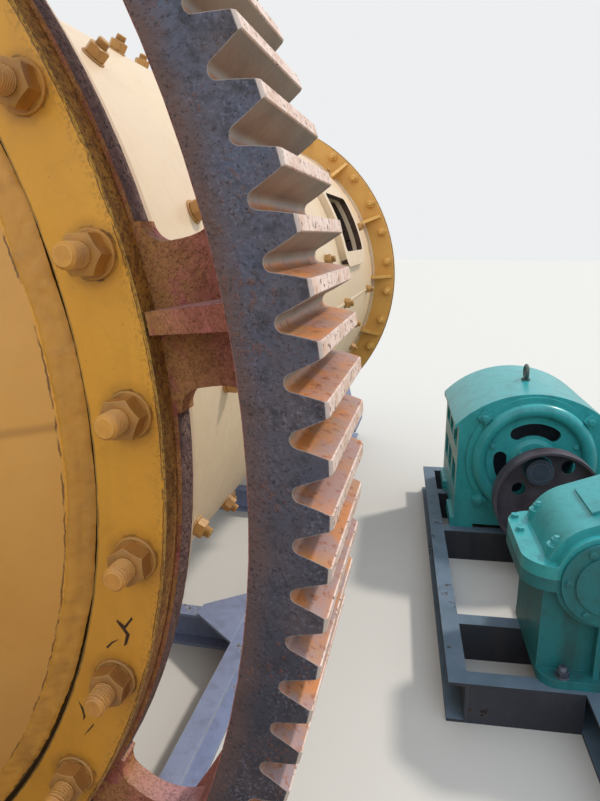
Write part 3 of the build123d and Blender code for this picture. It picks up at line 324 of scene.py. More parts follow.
def flange_edges(tree, radius, colour):
    """Dirt in the groove, cracked paint along both edges of the flange, and its gritty rim, dusted; the
    face, the groove's dirt and the rim are painted darker low down as shade.
    """
    height = add(tree, "SeparateXYZ", {0: place_in(tree)}).outputs[2]
    # Painted shade: the face turns darker and browner towards the bottom.
    low_down = add(tree, "MapRange", {0: height, 1: 1.35, 2: 0.7})
    colour = over(tree, colour, "#9C682A", low_down, 0.4)
    groove = band(tree, wandering(tree, radius, 25, 2), GROOVE_R - 1 * MM, GROOVE_R + 7.5 * MM, 2 * MM)
    # The groove's dirt turns to a painted shadow low down.
    dirt_and_low_shade = over(tree, "#8A5E24", "#2A1A0C", low_down)
    colour = over(tree, colour, dirt_and_low_shade, groove, 0.9)
    crack = band(tree, wandering(tree, radius, 16, 3), CONE_R - 0.5 * MM, CONE_R + 0.3 * MM, 0.8 * MM)
    broken = grain(tree, 45, 0.42, 0.5, detail=6.0)
    colour = over(tree, colour, "#4A2C14", crack, broken, 0.8)
    fringe = add(tree, "MapRange", {0: wandering(tree, radius, 20, 4), 1: EDGE_R - 15 * MM, 2: EDGE_R})
    colour = over(tree, colour, "#86602C", fringe, grain(tree, 4, 0.48, 0.62), 0.5)
    chipped = wandering(tree, radius, 9, 1.6)
    chipped = band(tree, chipped, EDGE_R - 1.2 * MM, EDGE_R - 0.4 * MM, 0.5 * MM)
    colour = over(tree, colour, "#4A2E20", chipped, grain(tree, 30, 0.38, 0.46), 0.85)
    rim = {0: wandering(tree, radius, 10, 1.2), 1: EDGE_R + 0.2 * MM, 2: EDGE_R + 1.4 * MM}
    rim = add(tree, "MapRange", rim)
    # The rim's dust turns purple brown low down, which is painted shade.
    rim_dust_and_shade = over(tree, "#B88C3C", "#94664A", low_down)
    rim_dust_and_shade = over(tree, rim_dust_and_shade, "#8A6230", grain(tree, 12, 0.45, 0.62))
    rim_dust_and_shade = over(tree, rim_dust_and_shade, "#6A4C2A", grain(tree, 4, 0.52, 0.62))
    return over(tree, colour, rim_dust_and_shade, rim, 0.95), rim


def head_marks(tree, colour, first_angle=NEAR_BOLT_ANGLE):
    """All marks of a head, from the cone out. The rim is dull."""
    radius, turns = round_axis(tree)
    colour = cone_finish(tree, radius, turns, colour)
    colour = bolt_dirt(tree, radius, turns, colour, first_angle)
    return flange_edges(tree, radius, colour)


def feed_head_marks(tree, colour):
    """The same marks, round the bolts of the feed end."""
    return head_marks(tree, colour, FAR_BOLT_ANGLE)


# %% [markdown]
# Two more finishes depend on where a face lies: the skid's faces that look up are paler and bluer, with
# dust and painted sky light, and the faces that line the open manhole are painted dark brown as shade.

# %% Dust, painted sky light and painted shade
def dust_and_sky_lit_tops(tree, colour):
    """Paler and bluer on the faces that look up: a dusty film, and painted sky light."""
    upward = add(tree, "SeparateXYZ", {0: add(tree, "NewGeometry").outputs["Normal"]}).outputs[2]
    # A dusty film and painted sky light: the faces that look up are paler and bluer.
    dust_and_sky_tone = over(tree, "#566C7C", "#65778A", grain(tree, 90, 0.35, 0.65))
    settled = times(tree, add(tree, "MapRange", {0: upward, 1: 0.5, 2: 0.9}), 0.9)
    return over(tree, colour, dust_and_sky_tone, settled), times(tree, settled, 0.3)


def painted_opening_shade(tree, colour):
    """Painted shade: dark brown on the faces that line the manhole, which stand in shadow."""
    low, high = (Vector(corner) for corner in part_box("manhole_frame"))
    middle, reach = (low + high) / 2, (high - low) / 2
    offset = add(tree, "VectorMath", {0: place_in(tree), 1: middle}, operation="SUBTRACT")
    away = add(tree, "VectorMath", {0: offset}, operation="ABSOLUTE")
    parts = add(tree, "SeparateXYZ", {0: away}).outputs
    inner = [add(tree, "MapRange", {0: parts[axis], 1: reach[axis] - 20 * MM, 2: reach[axis] - 22 * MM})
             for axis in (0, 2)]
    normal = add(tree, "NewGeometry").outputs["True Normal"]
    outwards = (middle - Vector((middle.x, 0, AXIS_Z))).normalized()
    facing = add(tree, "VectorMath", {0: normal, 1: outwards}, operation="DOT_PRODUCT")
    lining = times(tree, *inner, add(tree, "MapRange", {0: facing.outputs["Value"], 1: 0.6, 2: 0.4}))
    # Painted shade: this dark brown stands for the shadow inside the opening.
    opening_shade = over(tree, "#3E2A20", "#5A4030", grain(tree, 40, 0.35, 0.65))
    return over(tree, colour, opening_shade, lining), lining


# %% [markdown]
# The ends are golden yellow; the shell is cream, its yellow painted washed out as by sunlight. The drive
# and the bearings are teal, and a darker teal is painted as shade on the reducer's lower half and caps.
# The base is blue grey and the skid dusty and dark. Worn edges show a paler tone, because handling thins
# the paint there.

# %% Paints
# Painted light: the shell's cream is its yellow paint, washed out as by sunlight.
SUNWASHED_CREAM = ("#DEC4A2", "#DCC2A4", "#BE9A76")
flange_paint = enamel("brushed_yellow_enamel", "#EAA636", "#DD9830", "#9A6C2C", marks=head_marks,
                      wear=0.35, worn="#F0CE86")
weld_paint = enamel("weld_yellow_enamel", "#DC9A3C", "#C48834", "#8A5C2A", grime_level=0.7, lumps=1.6)
head_paint = enamel("head_yellow_enamel", "#E0B060", "#D6A048", "#A07C44", marks=feed_head_marks)
trunnion_paint = enamel("trunnion_yellow_enamel", "#DDA23C", "#D29636", "#94703E", grime_level=0.5)
shell_paint = enamel("sunlit_cream_enamel", *SUNWASHED_CREAM, rough=0.38, grime_level=0.22)
opening_paint = enamel("manhole_cream_enamel", *SUNWASHED_CREAM, rough=0.38, grime_level=0.22, marks=painted_opening_shade)
far_paint = enamel("far_flange_enamel", "#D8A04C", "#DCA858", "#A87A3C")
bolt_paint = enamel("bolt_yellow_enamel", "#E4A044", "#D08E40", "#8A5630", grime_level=0.8, wear=0.6,
                    worn="#F8D288")
nut_paint = enamel("nut_yellow_enamel", "#CC8E3C", "#AC783E", "#6E4628", grime_level=0.8, wear=0.6,
                   worn="#ECBC6C")
liner_bolt_paint = enamel("shell_bolt_enamel", "#C79A58", "#B98850", "#7E5A34", grime_level=0.6)
green_paint = enamel("teal_green_enamel", "#2F9A9C", "#389EA2", "#1E6468", rust="#3E7A74", rough=0.3,
                     lumps=0.6, wear=0.5, worn="#8FDDE2", grime_level=0.5)
# Painted shade: a darker copy of the teal paint for the reducer's lower half, its caps and cover screws.
shaded_teal_paint = enamel("shaded_dusty_teal_enamel", "#1F6E74", "#266F72", "#2E4A48", rust="#4A4A38",
                           rough=0.4, lumps=0.6, wear=0.4, worn="#6CB4B8", grime_level=0.8)
base_paint = enamel("blue_grey_enamel", "#8A92AE", "#7A84A4", "#6A6874", chips=0.2, bare="#5A4E4A",
                    rust="#C4CAC4", rough=0.5, wear=0.7, worn="#D8E0DA", grime_level=0.6)
skid_paint = enamel("dusty_dark_paint", "#2E323C", "#3A3F4A", "#4A4648", rust="#5A4A44", chips=0.12,
                    bare="#2A2426", grime_level=0.6, rough=0.55, wear=0.5, worn="#7E8898",
                    marks=dust_and_sky_lit_tops)
print("materials so far:", len(bpy.data.materials))

# %% [markdown]
# The girth gear is cast steel. Its rim was machined and then stored outdoors, so its side face is slate
# dark with rust freckles; it is painted lighter and bluer high up and darker low down, as light and
# shade, and its pale flecks are painted glints. Rain lies on the flanks that face up and turns them
# orange, and the orange is painted sunlight too, strongest on the lower teeth, while the flanks that
# face down stay dull brown. The tooth tips are worn and painted pale as sunlit. The spokes keep the
# rough skin of the mould under red oxide primer, with yellow overspray beside the flange, and their
# faces that look up are painted a pale lilac as lit. The zones are told apart by the distance from the
# drum's axis and by the way the surface faces.

# %% Gear casting
def primed_casting(tree, radius, upward, off_face):
    """Spokes with the mould's skin under primer, overspray near the flange, a pale lilac painted on the
    faces that look up as the light on them, and the darker inner ring.
    """
    cast = over(tree, "#BC6C66", "#9E5A4A", grain(tree, 60, 0.4, 0.6))
    cast = over(tree, cast, "#8A483C", grain(tree, 14, 0.52, 0.7))
    # Painted light: the faces that look up are paler and lilac.
    lit_top_patches = grain(tree, 40, 0.25, 0.5)
    cast = over(tree, cast, "#C4989A", add(tree, "MapRange", {0: upward, 1: 0.3, 2: 0.9}), lit_top_patches, 0.75)
    near = add(tree, "MapRange", {0: wandering(tree, radius, 40, 25), 1: 0.98, 2: 0.9})
    cloud = add(tree, "Math", {0: grain(tree, 40, 0.3, 0.65), 1: grain(tree, 3)})
    cast = over(tree, cast, "#BC8C4A", near, add(tree, "MapRange", {0: cloud, 1: 0.7, 2: 1.1}), 0.75)
    sand = grain(tree, 2.6, 0.5, 0.62)
    cast = over(tree, cast, "#5A3226", sand, grain(tree, 40, 0.2, 0.55), 0.5)
    ring = over(tree, "#6E5552", "#8A6E66", grain(tree, 12, 0.4, 0.65))
    ring = over(tree, ring, "#3E2E30", grain(tree, 4, 0.52, 0.62))
    on_ring = add(tree, "MapRange", {0: radius, 1: RING_R + 2 * MM, 2: RING_R + 1 * MM})
    return over(tree, cast, ring, on_ring, off_face)


def slate_face(tree, radius, height):
    """The rim's machined side: slate dark, painted lighter and bluer high up and darker low down as light
    and shade, browned inside, with pale flecks painted as glints, and rust freckles.
    """
    # Painted sky light and shade: lighter and bluer high up, darker low down.
    slate = over(tree, "#2E2C38", "#666A82", add(tree, "MapRange", {0: height, 1: 0.95, 2: 1.95}))
    higher = add(tree, "MapRange", {0: height, 1: 0.7, 2: 1.5, 3: 0.2, 4: 0.7})
    slate = over(tree, slate, "#5E4E50", grain(tree, 90, 0.4, 0.6), higher)
    slate = over(tree, slate, "#2C2A34", grain(tree, 16, 0.5, 0.66), 0.7)
    # Painted glints: pale lilac flecks, thickest in patches.
    glint_fleck = grain(tree, 3.5, 0.55, 0.62)
    slate = over(tree, slate, "#8E8A9C", glint_fleck, grain(tree, 70, 0.38, 0.58), 0.28)
    inner = {0: wandering(tree, radius, 34, 10), 1: RIM_R + 25 * MM, 2: RIM_R + 3 * MM}
    higher = add(tree, "MapRange", {0: height, 1: 0.8, 2: 1.6, 3: 0.4, 4: 0.85})
    slate = over(tree, slate, "#68463A", add(tree, "MapRange", inner), higher)
    freckle = grain(tree, 5, 0.56, 0.62)
    slate = over(tree, slate, "#744634", freckle, grain(tree, 60, 0.45, 0.62), 0.6)
    return over(tree, slate, "#1C1A22", grain(tree, 3, 0.6, 0.65), 0.7)


def tooth_flanks(tree, upward, height):
    """Dull brown flanks, orange where they face up: rust, and painted sunlight that is strongest on the
    lower teeth.
    """
    flank = over(tree, "#968A7E", "#7E7068", grain(tree, 60, 0.35, 0.65))
    flank = over(tree, flank, "#8F6550", grain(tree, 14, 0.58, 0.72), 0.3)
    lengthwise = add(tree, "Mapping", {"Vector": place_in(tree), "Scale": (0.4, 1.0, 1.0)})
    rust_and_sunlight = over(tree, "#C07434", "#A87650", grain(tree, 20, 0.4, 0.62, vector=lengthwise))
    lower = add(tree, "MapRange", {0: height, 1: 1.5, 2: 0.8, 3: 0.4, 4: 0.95})
    rust_and_sunlight = over(tree, rust_and_sunlight, "#8E7C84", grain(tree, 60, 0.42, 0.56), lower)
    rust_and_sunlight = over(tree, rust_and_sunlight, "#8C4A22", grain(tree, 9, 0.55, 0.68))
    # Rust and painted sunlight: orange on the flanks that face up, strongest low down.
    up_flank_rust_and_sun = add(tree, "MapRange", {0: upward, 1: 0.05, 2: 0.3})
    lower = add(tree, "MapRange", {0: height, 1: 1.75, 2: 1.45, 3: 0.25, 4: 1.0})
    return over(tree, flank, rust_and_sunlight, up_flank_rust_and_sun, lower)


def tooth_tips(tree):
    """Pale tips, worn and painted near white as sunlit, with rust spots and dark nicks."""
    # Painted sunlight: the tips are near white, and also worn.
    tip = over(tree, "#EAD2C8", "#D8B4A0", grain(tree, 30, 0.4, 0.65))
    tip = over(tree, tip, "#B47C50", grain(tree, 9, 0.55, 0.68), 0.7)
    return over(tree, tip, "#5A3A30", grain(tree, 5, 0.6, 0.65))


def gear_steel():
    """The four finishes of the gear in one material, told apart by radius and by facing."""
    material, tree = new_material("girth_gear_casting")
    radius = round_axis(tree)[0]
    height = add(tree, "SeparateXYZ", {0: place_in(tree)}).outputs[2]
    along, _, upward = add(tree, "SeparateXYZ", {0: tree.nodes["coordinates"].outputs["Normal"]}).outputs
    sideways = add(tree, "Math", {0: along}, operation="ABSOLUTE")
    side = add(tree, "MapRange", {0: sideways, 1: 0.85, 2: 0.9})
    slanting = add(tree, "MapRange", {0: sideways, 1: 0.45, 2: 0.55})
    chamfer = times(tree, slanting, add(tree, "MapRange", {0: sideways, 1: 0.9, 2: 0.85}))
    on_rim = add(tree, "MapRange", {0: radius, 1: RIM_R, 2: RIM_R + 1 * MM})
    on_tip = add(tree, "MapRange", {0: radius, 1: TIP_R - 2 * MM, 2: TIP_R - 1 * MM})
    rim = over(tree, tooth_flanks(tree, upward, height), tooth_tips(tree), on_tip)
    rim = over(tree, rim, slate_face(tree, radius, height), side)
    rim = over(tree, rim, "#C4B4AE", chamfer, 0.85)
    rim = over(tree, rim, "#D0BAAE", edges_worn(tree, 1.6), 0.8)
    cast = primed_casting(tree, radius, upward, add(tree, "MapRange", {0: sideways, 1: 0.5, 2: 0.3}))
    milled = times(tree, on_rim, add(tree, "MapRange", {0: side, 3: 1.0, 4: 0.6}))
    skin = times(tree, grain(tree, 9, detail=6.0), add(tree, "MapRange", {0: milled, 3: 1.0, 4: 0.06}))
    pits = times(tree, grain(tree, 5, 0.5, 0.7), add(tree, "MapRange", {0: milled, 3: 1.0, 4: 0.1}))
    roughness = add(tree, "MapRange", {0: on_rim, 3: 0.85, 4: 0.46})
    finish_surface(tree, over(tree, cast, rim, on_rim), roughness,
                   relief=[(skin, 4.0), (pits, 1.2)], round_edge=1.5)
    return material


gear_material = gear_steel()
print("gear finish nodes:", len(gear_material.node_tree.nodes))

# %% [markdown]
# Bare steel shows on the shaft ends, the coupling hub and its guard, and inside the drum. Turned steel
# keeps a film of oil and dust, so it is metallic but not mirror-like. The liners are worn and rusty.

# %% Bare steel
def bare_steel(name, light, dark, rust, rough, metallic=0.6, wear=0.0, worn="#C8BEC0"):
    """Turned or cast steel with an oily film and a little rust."""
    material, tree = new_material(name)
    colour = over(tree, light, dark, grain(tree, 90, 0.35, 0.65))
    colour = over(tree, colour, rust, grain(tree, 12, 0.58, 0.72))
    if wear:
        colour = over(tree, colour, worn, edges_worn(tree, 2.0), wear)
    roughness = add(tree, "MapRange", {0: grain(tree, 40), 3: rough - 0.12, 4: rough + 0.12})
    relief = [(grain(tree, 4), 0.25), (grain(tree, 40), 0.8)]
    finish_surface(tree, colour, roughness, metallic=metallic, relief=relief)
    return material


journal_steel = bare_steel("turned_journal_steel", "#9A948E", "#7C746E", "#7A5238", 0.4)
hub_steel = bare_steel("dark_hub_steel", "#4A5464", "#3A404E", "#5E4A44", 0.4, 0.3, 0.6, "#A8AEBE")
# The guard's pale edges are worn, and are also a painted highlight.
guard_steel = bare_steel("guard_sheet_steel", "#5C5660", "#463E48", "#5A4444", 0.5, 0.2, 0.8, "#9A96A2")
eye_steel = bare_steel("lifting_eye_steel", "#5E6E6C", "#4A5452", "#7A7264", 0.5, 0.2)
split_metal = bare_steel("rusty_bare_spot", "#4E3420", "#382416", "#6A4428", 0.9, 0.0)
liner_steel = bare_steel("worn_liner_steel", "#4E3A32", "#3A2C28", "#6A4630", 0.6, 0.3)

# %% [markdown]
# Every piece of the frame has its shape already and only needs its finish. One table says which finish
# goes on which pieces, where a star stands for any letters, and the print shows that none is forgotten.

# %% Finish the frame's own pieces
finishes = {
    flange_paint: ["discharge_head"],
    trunnion_paint: ["*_trunnion"],
    head_paint: ["feed_head"],
    shell_paint: ["shell_*_half", "discharge_flange_ribs", "discharge_shell_flange"],
    opening_paint: ["manhole_frame"],
    far_paint: ["feed_shell_flange", "feed_flange_ribs"],
    gear_material: ["girth_gear_*"],
    shaded_teal_paint: ["reducer_lower_housing", "reducer_bearing_caps"],
    green_paint: ["motor_frame", "motor_*_shield", "reducer_upper_housing", "reducer_inspection_cover",
                  "*_bearing_housing", "*_bearing_cap"],
    base_paint: ["base_*", "*_bearing_stand"],
    skid_paint: ["skid_*"],
    journal_steel: ["reducer_shaft_ends"],
    hub_steel: ["motor_coupling", "motor_rotor_shaft"],
    guard_steel: ["coupling_guard"],
    eye_steel: ["motor_lifting_eye"],
    liner_steel: ["shell_liners"],
}
finished = []
for finish, patterns in finishes.items():
    for name in [name for name in nodes if any(fnmatch(name, pattern) for pattern in patterns)]:
        nodes[name].data.materials.clear()
        nodes[name].data.materials.append(finish)
        finished.append(name)
print("finished nodes:", len(finished), "of", len(nodes), "none of them twice:",
      len(set(finished)) == len(finished))

# %% [markdown]
# Small pieces are modelled once and set in place many times, joined in one mesh for each group.
# A fastener stands on the origin and points up, and a placing matrix puts it on its seat, turned by a
# seeded random angle, because a fitter leaves hexagons at any angle.

# %% Mesh helpers
def add_piece(name, mesh_builder, material, body, smooth_angle=35):
    """Turn a bmesh to an object with a finish that rides on a body."""
    bmesh.ops.remove_doubles(mesh_builder, verts=mesh_builder.verts, dist=0.01 * MM)
    bmesh.ops.recalc_face_normals(mesh_builder, faces=mesh_builder.faces)
    mesh = bpy.data.meshes.new(name)
    mesh_builder.to_mesh(mesh)
    mesh_builder.free()
    piece = new_object(name, mesh)
    mesh.materials.append(material)
    mesh.shade_smooth()
    mesh.set_sharp_from_angle(angle=radians(smooth_angle))
    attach(piece, body)
    print(name, "has", len(mesh.polygons), "faces and rides on", body)


def spun(points, steps=24):
    """A solid turned about Z from (radius, height) points."""
    shape = bmesh.new()
    ring = [shape.verts.new((radius, 0, height)) for radius, height in points]
    edges = [shape.edges.new(pair) for pair in zip(ring, ring[1:])]
    bmesh.ops.spin(shape, geom=ring + edges, cent=(0, 0, 0), axis=(0, 0, 1), angle=2 * pi,
                   steps=steps, use_merge=True)
    bmesh.ops.remove_doubles(shape, verts=shape.verts, dist=0.01 * MM)
    return shape


def repeated(unit, places):
    """One mesh with the unit at every place."""
    copies = [unit.copy() for _ in places]
    for copy, place in zip(copies, places):
        bmesh.ops.transform(copy, matrix=place, verts=copy.verts)
    unit.free()
    return merged(*copies)


def merged(*shapes):
    """Several bmeshes as one."""
    whole = bmesh.new()
    for shape in shapes:
        part = bpy.data.meshes.new("part")
        shape.to_mesh(part)
        shape.free()
        whole.from_mesh(part)
        bpy.data.meshes.remove(part)
    return whole


random.seed(26)
noise.seed_set(26)


def fitted(point, direction):
    """A matrix that stands a Z-up fastener on a point, along a direction, turned at random."""
    upright = Vector(direction).to_track_quat("Z", "Y").to_matrix().to_4x4()
    turn = Matrix.Rotation(random.uniform(0, pi / 3), 4, "Z")
    return Matrix.Translation(point) @ upright @ turn


# %% [markdown]
# A hexagon nut starts as a turned disc with conical corners, as on a lathe, and its six flats are cut by
# drawing the points in. A stud's thread is a stack of ridges a real pitch apart.

# %% Nuts, studs and bolts
def hex_nut(across_flats, height, bore):
    """A hexagon nut with its corners turned off at both faces."""
    chamfer = 0.475 * across_flats
    corner = across_flats / sqrt(3)
    points = [(bore, 0), (chamfer, 0), (corner, 0.1 * height), (corner, 0.9 * height)]
    points += [(chamfer, height), (bore, height)]
    nut = spun(points)
    for vertex in nut.verts:
        radius = Vector(vertex.co.xy).length
        if radius > chamfer * 1.01:
            angle = Vector((1, 0)).angle_signed(vertex.co.xy.normalized())
            within = (angle % (pi / 3)) - pi / 6
            flat = min(corner, across_flats / 2 / cos(within))
            lift = (flat - chamfer) * 0.5
            vertex.co.x *= flat / radius
            vertex.co.y *= flat / radius
            vertex.co.z = lift if vertex.co.z < height / 2 else height - lift
    return nut


def threaded_end(radius, low, high, pitch):
    """The end of a stud: thread ridges, a chamfer and a flat end."""
    points = [(0, low)]
    height = low
    depth = 0.6 * pitch
    while height + pitch < high - pitch:
        points += [(radius - depth, height), (radius, height + 0.35 * pitch)]
        points.append((radius, height + 0.6 * pitch))
        height += pitch
    points += [(radius - depth, height), (radius, high - pitch), (radius - 1.5 * depth, high), (0, high)]
    return spun(points, steps=20)


def washer_ring(bore, rim, thickness):
    """A flat washer with a rounded upper edge."""
    edge = 0.3 * thickness
    points = [(bore, 0), (rim, 0), (rim, thickness - edge), (rim - edge, thickness), (bore, thickness)]
    return spun(points, steps=28)


def nut_on_washer(size, rim=0.95):
    """A hexagon nut on its washer, by thread size in metres."""
    lift = 0.15 * size
    nut = hex_nut(1.52 * size, 0.85 * size, 0.5 * size)
    bmesh.ops.translate(nut, vec=(0, 0, lift), verts=nut.verts)
    return merged(nut, washer_ring(0.5 * size, rim * size, lift))


def stud_and_nut(size, stand_out=None):
    """A nut on its washer and the threaded end of a stud. The thread shows above the nut only."""
    stand_out = 0.9 * size if stand_out is None else stand_out
    end = threaded_end(0.5 * size, 0.85 * size, size + stand_out, 0.11 * size)
    return merged(nut_on_washer(size), end)


def hex_bolt(size):
    """A washer and the head of a hexagon bolt, by thread size in metres."""
    lift = 0.15 * size
    head = hex_nut(1.5 * size, 0.65 * size, 0.3 * size)
    lid = spun([(0, 0.62 * size), (0.32 * size, 0.62 * size), (0.4 * size, 0.6 * size)])
    head = merged(head, lid)
    bmesh.ops.translate(head, vec=(0, 0, lift), verts=head.verts)
    return merged(head, washer_ring(0.4 * size, 0.95 * size, lift))


# %% [markdown]
# Thirty-two M27 studs hold the discharge head, the gear's inner ring and the shell's flange together, and
# as many hold the feed head. Smaller bolts hold each hollow trunnion to its head.

# %% Bolts of the heads and trunnions
STUD = 27 * MM
STUD_OUT = 54 * MM
STUD_PITCH = 3.5 * MM


def bolt_ring(x, direction, radius=BOLT_CIRCLE, count=BOLTS, first_angle=NEAR_BOLT_ANGLE):
    """Places of a ring of fasteners that point along the drum."""
    return [fitted(drum_point(x, radius, first_angle + 360 / count * index), (direction, 0, 0))
            for index in range(count)]


near_places = bolt_ring(FACE_X, -1)
near_stud = threaded_end(0.5 * STUD, 0.85 * STUD, STUD_OUT, STUD_PITCH)
add_piece("discharge_head_nuts", repeated(nut_on_washer(STUD, 0.96), near_places), nut_paint, "drum")
add_piece("discharge_head_studs", repeated(near_stud, near_places), bolt_paint, "drum")
add_piece("discharge_flange_bolts", repeated(hex_bolt(STUD), bolt_ring(DISCHARGE_STACK_X, 1)),
          bolt_paint, "drum")
for name, x, side, unit, paint in (("feed_flange_nuts", FEED_STACK_X, -1, stud_and_nut(STUD), far_paint),
                                   ("feed_head_bolts", FEED_FACE_X, 1, hex_bolt(STUD), bolt_paint)):
    add_piece(name, repeated(unit, bolt_ring(x, side, first_angle=FAR_BOLT_ANGLE)), paint, "drum")

HUB_BOLT = 24 * MM
HUB_BOLTS = 16
HUB_BOLT_CIRCLE = 306 * MM
TRUNNION_FLANGE = 40 * MM
hub_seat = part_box("feed_head")[1][0] + TRUNNION_FLANGE
for end, side in (("feed", 1), ("discharge", -1)):
    hub_places = bolt_ring(side * hub_seat, side, HUB_BOLT_CIRCLE, HUB_BOLTS, 180 / HUB_BOLTS)
    add_piece(end + "_trunnion_bolts", repeated(hex_bolt(HUB_BOLT), hub_places), trunnion_paint, "drum")

# %% [markdown]
# Liner bolts come out through the shell in rings, fifteen to a ring, each ring half a step round from
# the last. They hold the wear plates inside. Each ends in a nut with a short end of thread.

# %% Liner bolts
LINER_BOLT, LINER_BOLT_OUT = 24 * MM, 14 * MM
LINER_RINGS = 7
LINER_RING_STEP = 382.7 * MM
LINER_FIRST_X = FACE_X + 552 * MM
LINER_COUNT = 15
LINER_FIRST_ANGLE = (21.9, 12.0)
manhole_low, manhole_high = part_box("manhole_frame")


def liner_bolt_places():
    """Every liner bolt that isn't in the way of the manhole."""
    places = []
    for ring in range(LINER_RINGS):
        x = LINER_FIRST_X + ring * LINER_RING_STEP
        for index in range(LINER_COUNT):
            angle = LINER_FIRST_ANGLE[ring % 2] + 360 / LINER_COUNT * index
            point = drum_point(x, SHELL_R, angle)
            beside = manhole_low[2] - LINER_BOLT < point.z < manhole_high[2] + LINER_BOLT
            along = manhole_low[0] - LINER_BOLT < x < manhole_high[0] + LINER_BOLT
            if beside and along and point.y < 0:
                continue
            places.append(fitted(point, point - Vector((x, 0, AXIS_Z))))
    return places


liner_places = liner_bolt_places()
liner_unit = stud_and_nut(LINER_BOLT, LINER_BOLT_OUT)
add_piece("liner_bolts", repeated(liner_unit, liner_places), liner_bolt_paint, "drum")
print("liner bolts:", len(liner_places))

# %% [markdown]
# Each bearing has a cap on four bolts through its ears, a foot on four more, and a stand with bolts at
# the corners of its foot plate. Both ends are alike, so one loop serves both.

# %% Bearing and stand bolts
CAP_BOLT, FOOT_BOLT, STAND_BOLT, LID_SCREW = 30 * MM, 24 * MM, 20 * MM, 10 * MM
EAR_X, EAR_Y, EAR_HEIGHT = 75 * MM, 392 * MM, 36 * MM
FOOT_X, FOOT_Y, FOOT_HEIGHT = 125 * MM, 420 * MM, 40 * MM
STAND_X, STAND_Y, PLATE = 160 * MM, 610 * MM, 25 * MM
LID_REACH = 70 * MM
UP, DOWN = (0, 0, 1), (0, 0, -1)


def four(middle_x, reach_x, reach_y, height, direction=UP):
    """Four fastener places round a point on the mill's middle line."""
    return [fitted(Vector((middle_x + x, y, height)), direction)
            for x in (-reach_x, reach_x) for y in (-reach_y, reach_y)]


for end in ("feed", "discharge"):
    cap_low, cap_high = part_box(end + "_bearing_cap")
    middle = (cap_low[0] + cap_high[0]) / 2
    ears = four(middle, EAR_X, EAR_Y, AXIS_Z + EAR_HEIGHT)
    foot = four(middle, FOOT_X, FOOT_Y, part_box(end + "_bearing_housing")[0][2] + FOOT_HEIGHT)
    under = four(middle, EAR_X, EAR_Y, AXIS_Z - EAR_HEIGHT, DOWN)
    lid = four(middle, LID_REACH, LID_REACH, cap_high[2])
    plate = four(middle, STAND_X, STAND_Y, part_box(end + "_bearing_stand")[0][2] + PLATE)
    for group, unit, places, paint in (("_cap_studs", stud_and_nut(CAP_BOLT), ears, green_paint),
                                       ("_cap_bolt_heads", hex_bolt(CAP_BOLT), under, green_paint),
                                       ("_housing_bolts", stud_and_nut(FOOT_BOLT), foot, green_paint),
                                       ("_oil_box_screws", hex_bolt(LID_SCREW), lid, green_paint),
                                       ("_stand_bolts", stud_and_nut(STAND_BOLT), plate, base_paint)):
        add_piece(end + group, repeated(unit, places), paint, "root")

# %% [markdown]
# The motor's end shields are held by a bolt in each lug, smaller screws hold the dish, and the bearing
# cover in its middle has three of its own. A ring of screws holds each round cover of the reducer.

# %% Motor and cover screws
LUG_BOLT, DISH_SCREW, BOSS_SCREW = 16 * MM, 12 * MM, 10 * MM
LUG_CIRCLE, DISH_CIRCLE, BOSS_CIRCLE, COVER_CIRCLE = 293, 189, 70, 110
LUG_DEPTH, DISH_DEPTH, BOSS_DEPTH, COVER_DEPTH = 34, 16, 32, 14
MOTOR_ENDS = ((1105, -1), (1765, 1))
REDUCER_ENDS = ((40, -1), (440, 1))


def on_circle(along, across, radius, angles, direction):
    """Fastener places on a circle that faces along the drive. Angles are degrees from straight up."""
    spots = [(across - radius * sin(radians(angle)), AXIS_HEIGHT + radius * cos(radians(angle)))
             for angle in angles]
    return [fitted(drive_point(along, spot, height), direction * ALONG) for spot, height in spots]


lugs, dish, boss = [], [], []
for seat, side in MOTOR_ENDS:
    lugs += on_circle(seat + side * LUG_DEPTH, INPUT_V, LUG_CIRCLE, (49, -49, 131, -131), side)
    dish += on_circle(seat + side * DISH_DEPTH, INPUT_V, DISH_CIRCLE, (68, -72, 180), side)
    boss += on_circle(seat + side * BOSS_DEPTH, INPUT_V, BOSS_CIRCLE, (60, 180, 300), side)
covers = []
for across in (INPUT_V, OUTPUT_V):
    for seat, side in REDUCER_ENDS:
        covers += on_circle(seat + side * COVER_DEPTH, across, COVER_CIRCLE, range(30, 390, 60), side)
for name, size, places, paint in (("motor_lug_bolts", LUG_BOLT, lugs, green_paint),
                                  ("motor_dish_screws", DISH_SCREW, dish, green_paint),
                                  ("motor_boss_screws", BOSS_SCREW, boss, green_paint),
                                  ("reducer_cover_screws", DISH_SCREW, covers, shaded_teal_paint)):
    add_piece(name, repeated(hex_bolt(size), places), paint, "root")

# %% [markdown]
# The reducer's halves are bolted through their flange, with larger bolts on round pads beside the fast
# shaft's bearings. Four bolts hold its feet to the skid.

# %% Reducer bolts
FLANGE_BOLT, BEARING_BOLT, REDUCER_FOOT_BOLT = 16 * MM, 18 * MM, 22 * MM
BEARING_BOLT_OUT, FOOT_BOLT_OUT = 8 * MM, 14 * MM
FLANGE_HALF, FOOT_TOP = 40, 168
PAD_REACH, PAD_HEIGHT, PAD_R, PAD_EDGE = 134, 40, 29, 3
FAST_EDGE, SLOW_EDGE = -228, -1222


def on_top(spots, height, direction=UP):
    """Upright fastener places from (along, across) spots on the drive unit."""
    return [fitted(drive_point(along, across, height), direction) for along, across in spots]


